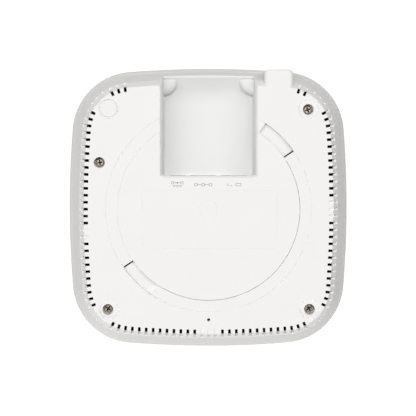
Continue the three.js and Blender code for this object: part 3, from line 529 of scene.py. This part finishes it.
def rear_shell():
    tilt = math.atan(-BEVEL_SLOPE)
    start = PLATE_HALF - PLATE_ROUND * math.tan(tilt / 2) + PLATE_EDGE_OUT
    angles = [tilt * i / 5 for i in range(6)]
    edge = [(start + PLATE_ROUND * math.sin(angle), -PLATE_ROUND * (1 - math.cos(angle)))
            for angle in angles]
    soft = BEND["soft"]
    bend = [(BEND["half"] + side * soft, BEND["z"] + side * soft * slope)
            for side, slope in ((-1, BEVEL_SLOPE), (1, LOW_SLOPE))]
    foot = (PARTING_HALF + PARTING_CHAMFER / LOW_SLOPE, PARTING_Z + PARTING_CHAMFER)
    outside = [(CAP_HALF, 0.0), (SUPPORT_HALF, 0.0), *edge, *bend, foot,
               (PARTING_HALF - PARTING_CHAMFER, PARTING_Z)]
    tongue_inside = TONGUE_HALF - TONGUE_THICK
    inside = [(TONGUE_HALF, PARTING_Z), (TONGUE_HALF, TONGUE_END), (tongue_inside, TONGUE_END),
              (tongue_inside, PARTING_Z + TONGUE_ROOT),
              (PLATE_HALF + BEVEL_INSIDE["foot"], bevel_z(VENT_OUTER)),
              (PLATE_HALF - BEVEL_INSIDE["head"], -PLATE_THICK), (CAP_HALF, -PLATE_THICK)]
    # The shell's inner faces take the dark painted shade.
    return soft_stack("rear_cover_look", [*outside, *inside], painted_shade_from=len(outside))


def vent_sides():
    """Turn of the side in quarters, the vents it has, and which of them are blind."""
    return ((0, range(-VENT_LAST, VENT_LAST + 1), (-1, 0, 1)),
            (1, range(-VENT_LAST, -VENT_LAST + 2), ()),
            (1, range(VENT_LAST - 2, VENT_LAST + 1), ()),
            (2, range(-VENT_LAST, VENT_LAST + 1), (3, 4)),
            (3, range(-VENT_LAST, VENT_LAST + 1), (-1, 0, 1)))


def stepped(name, points, depth):
    """A cutter from above z = 0 with straight walls and a small chamfer at its foot."""
    return prism(name, points, ((0.0, OVER), (0.0, 0.1 - depth), (-0.1, -depth)))


def vent_cutters():
    through, ledges = [], []
    depth = -bevel_z(VENT_OUTER)
    half = VENT_WIDTH / 2
    outer = VENT_OUTER + VENT_PAST
    whole = round_rect(-VENT_INNER, -half, outer, half, VENT_ROUND, 3)
    mouth = round_rect(-VENT_INNER, -half, BLIND_OUTER, half, VENT_ROUND, 3)
    groove = round_rect(GROOVE_INNER, -half, outer, half, GROOVE_ROUND, 3)
    for turn, indices, blind in vent_sides():
        for index in indices:
            spot = along(index * VENT_PITCH, PLATE_HALF)
            if index in blind:
                shape = quarter_turned(placed(mouth, *spot), turn)
                through.append(recess("blind", shape, BLIND_DEPTH, top=0.15, foot=0.15))
                shape = quarter_turned(placed(groove, *spot), turn)
                ledges.append(stepped("groove", shape, depth))
            else:
                shape = quarter_turned(placed(whole, *spot), turn)
                through.append(recess("vent", shape, depth, top=0.15, foot=0.08))
    return merged("vents", through), merged("ledges", ledges)


def corner_cutters():
    """Three blind notches round each corner."""
    cutters = []
    half = VENT_WIDTH / 2
    shape = round_rect(NOTCH["inner"], -half, NOTCH["outer"], half, GROOVE_ROUND, 3)
    for turn in range(4):
        for step in (-1, 0, 1):
            angle = math.radians(45 + NOTCH["step"] * step)
            x, y = on_corner(angle, PLATE_HALF)
            corner = quarter_turned(placed(shape, x, y, angle), turn)
            cutters.append(stepped("notch", corner, -bevel_z(NOTCH["depth_at"])))
    return merged("notches", cutters)


def lug():
    """A bar with well rounded sides and a smaller rounding at its outer end."""
    side, end = LUG_ROUND["side"], LUG_ROUND["end"]
    rings = []
    for z in LUG_LEVELS:
        across = side - math.sqrt(max(0.0, side**2 - max(0.0, side + z) ** 2))
        beyond = end - math.sqrt(max(0.0, end**2 - max(0.0, end + z) ** 2))
        corner = max(LUG_ROUND["least"], LUG_ROUND["corner"] - across)
        ring = round_rect(LUG["left"] + across, LUG["inner"], LUG["right"] - across,
                          LUG["outer"] - beyond, corner, 6)
        rings.append([(x, y, z) for x, y in ring])
    return stack("lug", rings)


def scoop_profile():
    """(y, z) of the pocket's floor where it rises along an arc."""
    run, rise = SCOOP["end"] - SCOOP["start"], SCOOP["top"] - POCKET["floor"]
    radius = (run * run + rise * rise) / (2 * rise)
    whole = math.asin(run / radius)
    return [(SCOOP["start"] + radius * math.sin(whole * i / 12),
             POCKET["floor"] + radius * (1 - math.cos(whole * i / 12))) for i in range(13)]


def scoop():
    """What fills the pocket's end under its rising floor."""
    low = POCKET["floor"] - 4
    under = [*scoop_profile(), (RIM_HALF + 4, SCOOP["top"]), (RIM_HALF + 4, low), (SCOOP["start"], low)]
    rings = [[(x, y, z) for y, z in under] for x in (POCKET["left"] - 3, POCKET["right"] + 3)]
    return stack("scoop", rings)


def pocket_lip():
    """A low ridge along the outlet, which follows the outline."""
    p = POCKET
    bar = block("lip", p["left"] - 3, SCOOP["end"] - 3, p["floor"] - 2, p["right"] + 3, RIM_HALF + 5,
                POCKET_LIP["top"])
    half, top = POCKET_LIP["half"], POCKET_LIP["top"]
    edge, middle = POCKET_LIP["round"], POCKET_LIP["middle"]
    inside = soft_stack("inside_lip", [(half, p["floor"] - 5), (half, top - edge),
                                       (half + middle, top - middle), (half + edge, top),
                                       (half + edge, 5)])
    return cut(bar, inside)


def gusset(x, side):
    """A quarter disc in the corner beside the outlet, with a soft edge round its arc."""
    p = POCKET
    levels = [(1.5, p["floor"] - OVER), (0.6, p["floor"] + 0.8), (0.0, p["floor"] + 2.6)]
    bend = GUSSET["round"]
    levels += turn_levels(bend, GUSSET["top"] - bend, 0, 90, 6, out=-bend)
    rings = []
    for out, z in levels:
        radius = GUSSET["radius"] + out
        edge = min(0.25, max(0.0, -out))
        ring = [(-6.0, -edge)]
        for step in range(16):
            angle = math.radians(6 * step)
            ring.append((radius * math.cos(angle), -max(radius * math.sin(angle), edge + 0.01 * step)))
        ring.append((-6.0, -radius - 0.02))
        rings.append([(x + side * u, GUSSET["y"] + v, z) for u, v in ring])
    return stack("gusset", rings)


def pocket_cutter():
    """The pocket: its mouth is bevelled on three sides, and its floor's edges are rounded."""
    p = POCKET
    strip, drop, foot = POCKET_BEVEL["across"], POCKET_BEVEL["down"], p["foot"]
    levels = [(strip + 0.25, OVER), (strip + 0.25, 0.0), (strip + 0.12, -0.05), (strip, -0.2),
              (0.1, -drop + 0.15), (0.0, -drop), (-0.05, -drop - 0.4)]
    levels += turn_levels(foot, p["floor"] + foot, 0, -90, out=-p["draft"] - foot)
    rings = []
    for out, z in levels:
        low = p["low"] - max(0.0, out)  # the sockets' wall has no draft
        outline = round_rect(p["left"] - out, low, p["right"] + out, RIM_HALF + 6,
                             max(0.4, 0.5 + out), 6)
        rings.append([(*point, z) for point in outline])
    void = stack("pocket", rings)
    for solid in (scoop(), pocket_lip(), gusset(p["left"], 1), gusset(p["right"], -1)):
        void = cut(void, solid)
    return void


def slot_at(turn, inset, start, end, corner):
    """A piece of a bayonet recess between two angles, this far inside its sides."""
    return arc_slot(BAYONET["inner"] + inset, BAYONET["outer"] - inset, start, end, corner, turn)


def inner_walls():
    """Tubes round the wells and the pinhole, and the backs of the bayonet recesses."""
    walls = [prism("tube", circle(at.x, at.y, WELL["tube"]), ((0, WELL["tube_end"]), (0, WALL_HEAD)))
             for at in SCREW_PLACES.values()]
    walls.append(prism("tube", circle(RESET.x, RESET.y, PINHOLE["tube"]),
                       ((0, PINHOLE["tube_end"]), (0, WALL_HEAD))))
    thick = BAYONET_WALL["thick"]
    for turn in BAYONET_TURNS:
        slot = slot_at(turn, -thick, BAYONET["start"] - BAYONET_WALL["before"],
                       BAYONET["end"] + BAYONET_WALL["after"], 1)
        walls.append(prism("bayonet_wall", slot, ((0, UNDERCUT["floor"] - thick), (0, WALL_HEAD))))
    return merged("walls", walls)


def pocket_tray():
    """The block that the pocket is cut from, kept inside the shell."""
    wall, top, clear = TRAY["wall"], TRAY["top"], TRAY_CLEAR
    tray = block("tray", POCKET["left"] - wall, POCKET["low"] - wall, POCKET["floor"] - wall,
                 POCKET["right"] + wall, RIM_HALF, top)
    below = PARTING_Z - clear["parting"]
    end = TONGUE_END + clear["end"]
    inside = soft_stack("inside", [(CAP_HALF, top), (PLATE_HALF - clear["plate"], top),
                                   (PARTING_HALF - clear["bevel"], below),
                                   (TONGUE_HALF - clear["tongue"], below),
                                   (TONGUE_HALF - clear["tongue"], end), (CAP_HALF, end)])
    return combine(tray, inside, "INTERSECT")


def mouths():
    """Openings for the three sockets and the lock."""
    cutters = []
    for jack in ("lan_jack_shell", "console_jack_shell", "power_jack_body"):
        low, high = (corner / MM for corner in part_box(jack))
        shape = round_rect(low.x - MOUTH["side"], low.z - MOUTH["below"], high.x + MOUTH["side"],
                           high.z + MOUTH["above"], MOUTH["corner"], 4)
        ends = (POCKET["low"] - MOUTH["deep"], POCKET["low"] + MOUTH["past"])
        rings = [[(x, y, z) for x, z in shape] for y in ends]
        # The opening's cut faces take the dark painted shade, a painted shadow round each socket.
        cutters.append(painted_shade_faces(stack("mouth", rings)))
    middle, half = (LUG["left"] + LUG["right"]) / 2, LOCK_SLOT["half"]
    cutters.append(block("lock_slot", middle - half, LUG["outer"] - LOCK_SLOT["deep"], LOCK_SLOT["low"],
                         middle + half, RIM_HALF, LOCK_SLOT["high"]))
    return merged("mouths", cutters)


def rings():
    """A shallow round flat about each corner screw, and a deeper one under the seal."""
    cutters = []
    for name, at in SCREW_PLACES.items():
        if name != RINGLESS:
            depth = RING["seal_depth"] if name == "sealed" else RING["depth"]
            u, v = RING_SHIFTS.get(name, (0, 0))
            disc = circle(at.x + u, at.y + v, RING["radius"], 72)
            cutters.append(recess("ring", disc, depth, top=0.2, foot=0.35))
    return merged("rings", cutters)


def wells():
    """The screw wells, the pinhole and the two bayonet recesses."""
    cutters = []
    for at in SCREW_PLACES.values():
        well = circle(at.x, at.y, WELL["radius"], 64)
        cutters.append(recess("well", well, -WELL["floor"], top=0.3, foot=0.4))
    pinhole = circle(RESET.x, RESET.y, PINHOLE["radius"], 32)
    cutters.append(recess("pinhole", pinhole, PINHOLE["depth"], top=0.2, foot=0.05))
    for turn in BAYONET_TURNS:
        slot = slot_at(turn, 0.0, BAYONET["start"], BAYONET["end"], 0.5)
        cutters.append(recess("bayonet", slot, BAYONET["depth"], top=0.25, foot=0.4))
    return merged("wells", cutters)


def undercuts():
    """Where a bracket's hooks turn in under the plate."""
    cutters = []
    for turn in BAYONET_TURNS:
        slot = slot_at(turn, 0.0, BAYONET["start"] - UNDERCUT["degrees"],
                       BAYONET["start"] + UNDERCUT["meet"], 0.3)
        cutters.append(prism("under", slot, ((0, UNDERCUT["floor"]), (0, UNDERCUT["top"]))))
    return merged("undercuts", cutters)


def slits():
    """A thin slit right through at the clockwise end of each bayonet recess."""
    cutters = []
    for turn in BAYONET_TURNS:
        slit = slot_at(turn, SLIT["inset"], BAYONET["start"] + SLIT["from"],
                       BAYONET["start"] + SLIT["to"], 0.1)
        cutters.append(prism("slit", slit, ((0, SLIT["foot"]), (0, SLIT["head"]))))
    return merged("slots", cutters)


def rear_cover():
    body = rear_shell()
    for solid in (inner_walls(), pocket_tray(), lug()):
        body = add(body, solid)
    for cutter in (pocket_cutter(), mouths(), rings(), wells(), undercuts(), slits(), *vent_cutters(),
                   corner_cutters(), fine_lines(), port_marks(FINE_OVER)):
        body = cut(body, cutter)
    smooth(body)
    return body


def ring_lines(radius):
    """Shallow grooves along a circle, from one bayonet recess to the other."""
    lines = []
    half, gap = RING_LINE["width"] / 2, RING_LINE["gap"]
    for turn in BAYONET_TURNS:
        start, end = BAYONET["end"] + gap, BAYONET["start"] + 180 - gap
        groove = arc_slot(radius - half, radius + half, start, end, 0.1, turn)
        levels = ((0, FINE_OVER), (0, 0), (-RING_LINE["draft"], -RING_LINE["depth"]))
        lines.append(prism("ring_line", groove, levels))
    return lines


def closed_band(name, points, section):
    """A four-sided band along a closed outline; its section is (how far out, z) four times."""
    count = len(points)
    flat = [(*point, z) for out, z in section for point in offset(points, out)]
    faces = []
    for level in range(4):
        here, there = level * count, (level + 1) % 4 * count
        for i in range(count):
            j = (i + 1) % count
            faces.append((here + i, here + j, there + j, there + i))
    return make(name, flat, faces)


def outline_line(points, width=0.4, depth=0.16):
    """A shallow groove along a closed outline."""
    section = ((-width / 2, FINE_OVER), (width / 2, FINE_OVER), (width / 4, -depth),
               (-width / 4, -depth))
    return closed_band("outline_line", points, section)


def fine_lines():
    label = round_rect(LABEL["left"], LABEL["low"], LABEL["right"], LABEL["high"], LABEL["corner"])
    lines = [*ring_lines(BAYONET["inner"]), *ring_lines(BAYONET["outer"]), outline_line(label),
             outline_line(circle(0, 0, LABEL["disc"], 60))]
    return merged("lines", lines)


# ---------------------------------------------------------------- front cover
def bezier(a, b, c, d, steps):
    points = []
    for i in range(steps + 1):
        t = i / steps
        weights = ((1 - t) ** 3, 3 * t * (1 - t) ** 2, 3 * t * t * (1 - t), t**3)
        points.append(tuple(sum(w * p[k] for w, p in zip(weights, (a, b, c, d))) for k in (0, 1)))
    return points


def dome(flat, half, z, steps):
    """(half-width, z) from the flat middle out to the rim, along a quarter ellipse."""
    angles = [math.radians(90 * i / steps) for i in range(steps + 1)]
    return [(flat + (half - flat) * math.sin(angle), RIM_Z + (z - RIM_Z) * math.cos(angle))
            for angle in angles]


def front_shell():
    top = PARTING_Z - PARTING_GAP
    lip, edge = PARTING_HALF + LIP["out"], LIP["round"]
    turn_in = bezier((RIM_HALF, RIM_Z), (RIM_HALF, RIM_Z + RIM_CURVE["rise"]),
                     (lip + RIM_CURVE["out"], top - RIM_CURVE["down"]), (lip + edge, top - 2 * edge), 8)
    outside = [*dome(DOME_FLAT, RIM_HALF, FRONT_Z, 24), *turn_in[1:], (lip - edge, top)]
    ceiling = dome(DOME_FLAT - 1, RIM_HALF - FRONT_WALL, FRONT_Z + FRONT_WALL, 8)
    inside = [(lip - LIP["width"], top), (lip - LIP["width"], top - LIP["depth"]), *reversed(ceiling)]
    # The cover's inner faces take the dark painted shade.
    return soft_stack("front_cover_look", [*outside, *inside], painted_shade_from=len(outside))


def column(name, at, size, steps):
    """A round prism about a screw's axis."""
    return prism(name, circle(at.x, at.y, size["radius"], steps), ((0, size["foot"]), (0, size["top"])))


def posts():
    """Bosses for the case screws' inserts and posts for the board."""
    solids = [column("boss", at, BOSS, 32) for at in SCREW_PLACES.values()]
    solids += [column("post", at, POST, 32) for at in BOARD_SCREW_PLACES]
    return merged("posts", solids)


def bores():
    """The bores of the bosses and posts, and the status light's hole."""
    cutters = [column("bore", at, BOSS_BORE, 24) for at in SCREW_PLACES.values()]
    cutters += [column("bore", at, POST_BORE, 24) for at in BOARD_SCREW_PLACES]
    edge = LIGHT_HOLE["round"]
    levels = ((edge, FRONT_Z - OVER), (edge, FRONT_Z), (0.07, FRONT_Z + 0.07), (0.0, FRONT_Z + edge),
              (0.0, FRONT_Z + FRONT_WALL + OVER))
    cutters.append(prism("light_hole", circle(LIGHT.x, LIGHT.y, LIGHT_HOLE["radius"], 40), levels))
    return merged("bores", cutters)


def front_cover():
    body = add(front_shell(), posts())
    body = cut(body, bores())
    smooth(body)
    return body


# ---------------------------------------------------------------- screws and seal
def cross_outline(arm, thick):
    quarter = [(arm, -thick), (arm, thick), (thick, thick)]
    return [point for turn in range(4) for point in quarter_turned(quarter, turn)]


def screw(name, at):
    """A pan head with a cross recess over a plain shank."""
    low, high = (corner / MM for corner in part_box(f"case_screw_{name}"))
    head, top, radius = SCREW_HEAD, high.z, (high.x - low.x) / 2
    foot, crown = top - head["height"], radius * head["crown"]
    side = foot + head["skirt"]
    profile = [(head["shank"], low.z), (head["shank"], foot), (radius - 0.1, foot),
               (radius, foot + head["foot"])]
    for i in range(1, 9):
        angle = math.radians(90 * i / 8)
        profile.append((radius - crown + crown * math.cos(angle), side + (top - side) * math.sin(angle)))
    rings_up = [[(*point, z) for point in circle(at.x, at.y, r, 40)] for r, z in profile]
    body = stack(f"case_screw_{name}_look", rings_up)
    # The second material paints shade into the cross recess.
    for look in (SCREW_STEEL, RECESS_SHADE):
        body.data.materials.append(look)
    outline = cross_outline(radius * SCREW_CROSS["arm"], radius * SCREW_CROSS["thick"])
    turned = placed(outline, at.x, at.y, math.radians(SCREW_TURNS[name]))
    levels = ((-0.2, top - SCREW_CROSS["depth"]), (0.0, top - 0.3), (0.15, top + 0.3))
    body = cut(body, painted_shade_faces(prism("cross", turned, levels)))
    smooth(body)
    return body


def seal():
    low, high = (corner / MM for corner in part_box("screw_seal"))
    at = (low + high) / 2
    disc = circle(at.x, at.y, (high.x - low.x) / 2, 72)
    foot, edge = SEAL_EDGE["low"], SEAL_EDGE["high"]
    body = prism("screw_seal_look", disc, ((-foot, low.z), (0.0, low.z + foot), (0.0, high.z - edge),
                                           (-edge, high.z)))
    smooth(body)
    return body


# ---------------------------------------------------------------- printed marks
MARK_TOP = -0.01  # the print stays just under the plate's face, in a groove of the same shape
MARK_DEPTH = 0.06
STROKE = 0.3
SIGN = {"low": 15.5, "high": 17.1, "corner": 0.3}


def bar(x0, y0, x1, y1, depth):
    """A straight stroke between two points, with the stroke's width."""
    run = Vector((x1 - x0, y1 - y0))
    angle = math.atan2(run.y, run.x)
    shape = placed([(0, -STROKE / 2), (run.length, -STROKE / 2), (run.length, STROKE / 2),
                    (0, STROKE / 2)], x0, y0, angle)
    return prism("bar", shape, ((0, -MARK_DEPTH), (0, depth)))


def closed_stroke(points, depth):
    """A stroke round a closed outline."""
    half = STROKE / 2
    section = ((half, -MARK_DEPTH), (-half, -MARK_DEPTH), (-half, depth), (half, depth))
    return closed_band("stroke", points, section)


def plate_mark(x0, x1, depth):
    """A small rounded box in the signs' row."""
    return closed_stroke(round_rect(x0, SIGN["low"], x1, SIGN["high"], SIGN["corner"], 2), depth)


def direct_current_sign(x, depth):
    """Two rings with a dot between them, over a line and three dashes."""
    ring_y, line_y, dash_y = 17.6, 15.7, 14.9
    parts = [closed_stroke(circle(x + side * 3.1, ring_y, 0.85, 24), depth) for side in (-1, 1)]
    parts += [prism("dot", circle(x, ring_y, 0.6, 20), ((0, -MARK_DEPTH), (0, depth))),
              bar(x - 2.0, ring_y, x - 0.9, ring_y, depth), bar(x + 0.9, ring_y, x + 2.0, ring_y, depth),
              bar(x - 3.0, line_y, x + 3.0, line_y, depth)]
    parts += [bar(x + start, dash_y, x + start + 1.4, dash_y, depth) for start in (-3.0, -0.7, 1.6)]
    return parts


def network_sign(x, depth):
    """Three boxes joined by lines."""
    middle = (SIGN["low"] + SIGN["high"]) / 2
    parts = [plate_mark(x + step - 0.9, x + step + 0.9, depth) for step in (-4.8, 0.0, 4.8)]
    parts += [bar(x - 3.6, middle, x - 1.2, middle, depth), bar(x + 1.2, middle, x + 3.6, middle, depth)]
    return parts


def console_sign(x, depth):
    """A prompt and its cursor beside a screen."""
    low, high = SIGN["low"], SIGN["high"]
    start, tip, fall = x - 4.6, x - 3.7, 0.68
    return [bar(start, high, tip, high - fall, depth), bar(start, low, tip, low + fall, depth),
            bar(x - 2.9, low, x - 1.0, low, depth), plate_mark(x + 1.2, x + 4.6, depth)]


def port_marks(depth):
    """Plain signs beside the sockets, up to this height."""
    parts = [*direct_current_sign(centre("power_jack_body").x, depth),
             *network_sign(centre("lan_jack_shell").x, depth),
             *console_sign(centre("console_jack_shell").x, depth)]
    return merged("port_marks", parts)


# ---------------------------------------------------------------- looks of the CAD's own nodes
NODE_LOOKS = {
    "main_board": BOARD, "heat_sink": ALUMINIUM, "thermal_pad": PAD, "chip": CHIP,
    "lan_magnetics": CHIP, "poe_transformer": FERRITE, "power_inductor": FERRITE,
    "capacitor": SLEEVE, "jack_shell": TINNED, "jack_insert": BLACK, "jack_contacts": GOLD,
    "power_jack_body": BLACK, "power_jack_pin": TINNED, "reset_switch_body": BLACK,
    "reset_plunger": IVORY, "status_light": GUIDE, "light_pipe": GUIDE, "radio_shield": TINNED,
    "board_screw": TINNED, "thread_insert": BRASS, "aerial_lead": JACKET, "aerial": BRASS,
}


def dressed(thing, material):
    thing.data.materials.clear()
    thing.data.materials.append(material)
    return thing


def stand_for(piece, node):
    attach(piece, "housing")
    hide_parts(node)


stand_for(rear_cover(), "rear_cover")
stand_for(front_cover(), "front_cover")
stand_for(dressed(seal(), SEAL), "screw_seal")
for screw_name, screw_place in SCREW_PLACES.items():
    stand_for(screw(screw_name, screw_place), f"case_screw_{screw_name}")
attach(dressed(port_marks(MARK_TOP), PRINT), "housing")

for node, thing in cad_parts.items():
    if thing.hide_render:
        continue
    matches = [key for key in NODE_LOOKS if key in node]
    look = NODE_LOOKS[max(matches, key=len)]
    for material_slot in thing.material_slots:
        material_slot.material = look
    softened = thing.modifiers.new("edges", "BEVEL")
    softened.width = 0.12 * MM
    softened.segments = 2
    softened.limit_method = "ANGLE"
    softened.angle_limit = math.radians(40)


# ---------------------------------------------------------------- camera, floor and light
CAMERA_PLACE = Vector((-9.0, 33.0, 800.0)) * MM
AIM_POINT = Vector((-5.0, 17.0, 0.0)) * MM  # about halfway from under the camera to the plate's centre
camera_data = bpy.data.cameras.new("camera")
camera_data.lens = 104.3
camera_data.shift_x = 0.0165
camera_data.shift_y = -0.0586
camera_data.sensor_width = 36.0
camera_data.clip_start = 0.01
camera_data.clip_end = 100.0
camera = bpy.data.objects.new("camera", camera_data)
bpy.context.scene.collection.objects.link(camera)
camera.location = CAMERA_PLACE
back = (CAMERA_PLACE - AIM_POINT).normalized()
right = Vector((0, 1, 0)).cross(back).normalized()
camera.rotation_mode = "QUATERNION"
camera.rotation_quaternion = Matrix((right, back.cross(right), back)).transposed().to_quaternion()
bpy.context.scene.camera = camera

FLOOR_Z = -1.0
FLOOR_HALF = 40.0
POOL = {"inner": 1.12, "outer": 1.5}  # the floor's glowing pool of painted light, by distance from the CAD's origin
POOL_LIGHT = {"bright": 1.0, "dim": 0.35}


def floor_look():
    """A glowing floor with a painted pool of light: even under the object, dimmer all round."""
    material, nodes, links, target = shader("floor_look")
    target.inputs["Base Color"].default_value = (0.08, 0.08, 0.08, 1)
    target.inputs["Roughness"].default_value = 0.9
    target.inputs["Specular IOR Level"].default_value = 0.0
    target.inputs["Emission Color"].default_value = (1, 1, 1, 1)
    where = nodes.new("ShaderNodeTexCoord")
    distance = nodes.new("ShaderNodeVectorMath")
    distance.operation = "LENGTH"
    links.new(where.outputs["Object"], distance.inputs[0])
    pool = nodes.new("ShaderNodeMapRange")
    pool.interpolation_type = "SMOOTHSTEP"
    pool.inputs["From Min"].default_value = POOL["inner"]
    pool.inputs["From Max"].default_value = POOL["outer"]
    pool.inputs["To Min"].default_value = POOL_LIGHT["bright"]
    pool.inputs["To Max"].default_value = POOL_LIGHT["dim"]
    links.new(distance.outputs["Value"], pool.inputs["Value"])
    links.new(pool.outputs["Result"], target.inputs["Emission Strength"])
    return material


corners = ((-1, -1), (1, -1), (1, 1), (-1, 1))
floor_mesh = bpy.data.meshes.new("floor")
floor_points = [(x * FLOOR_HALF, y * FLOOR_HALF, FLOOR_Z) for x, y in corners]
floor_mesh.from_pydata(floor_points, [], [(0, 1, 2, 3)])
floor_mesh.materials.append(floor_look())
floor = bpy.data.objects.new("floor", floor_mesh)
bpy.context.scene.collection.objects.link(floor)


def softbox(name, place, width, height, watts):
    data = bpy.data.lights.new(name, "AREA")
    data.shape = "RECTANGLE"
    data.size = width
    data.size_y = height
    data.energy = watts
    lamp = bpy.data.objects.new(name, data)
    bpy.context.scene.collection.objects.link(lamp)
    lamp.location = place
    lamp.rotation_mode = "QUATERNION"
    lamp.rotation_quaternion = (LIGHT_AIM - Vector(place)).to_track_quat("-Z", "Y")
    lamp.visible_camera = False


LIGHT_AIM = Vector((0, 0, -0.01))
softbox("top_softbox", (-0.2, 0.9, 3.2), 9.5, 1.6, 205.0)
softbox("low_fill", (0.0, -1.25, 0.2), 1.0, 0.3, 8.0)
softbox("left_fill", (-1.3, 0.0, 0.1), 0.8, 0.3, 0.9)

world = bpy.data.worlds.new("world")
world.use_nodes = True
background = world.node_tree.nodes["Background"]
background.inputs["Color"].default_value = (1.0, 0.975, 0.93, 1)
background.inputs["Strength"].default_value = 0.15
bpy.context.scene.world = world
bpy.context.scene.view_settings.view_transform = "Standard"
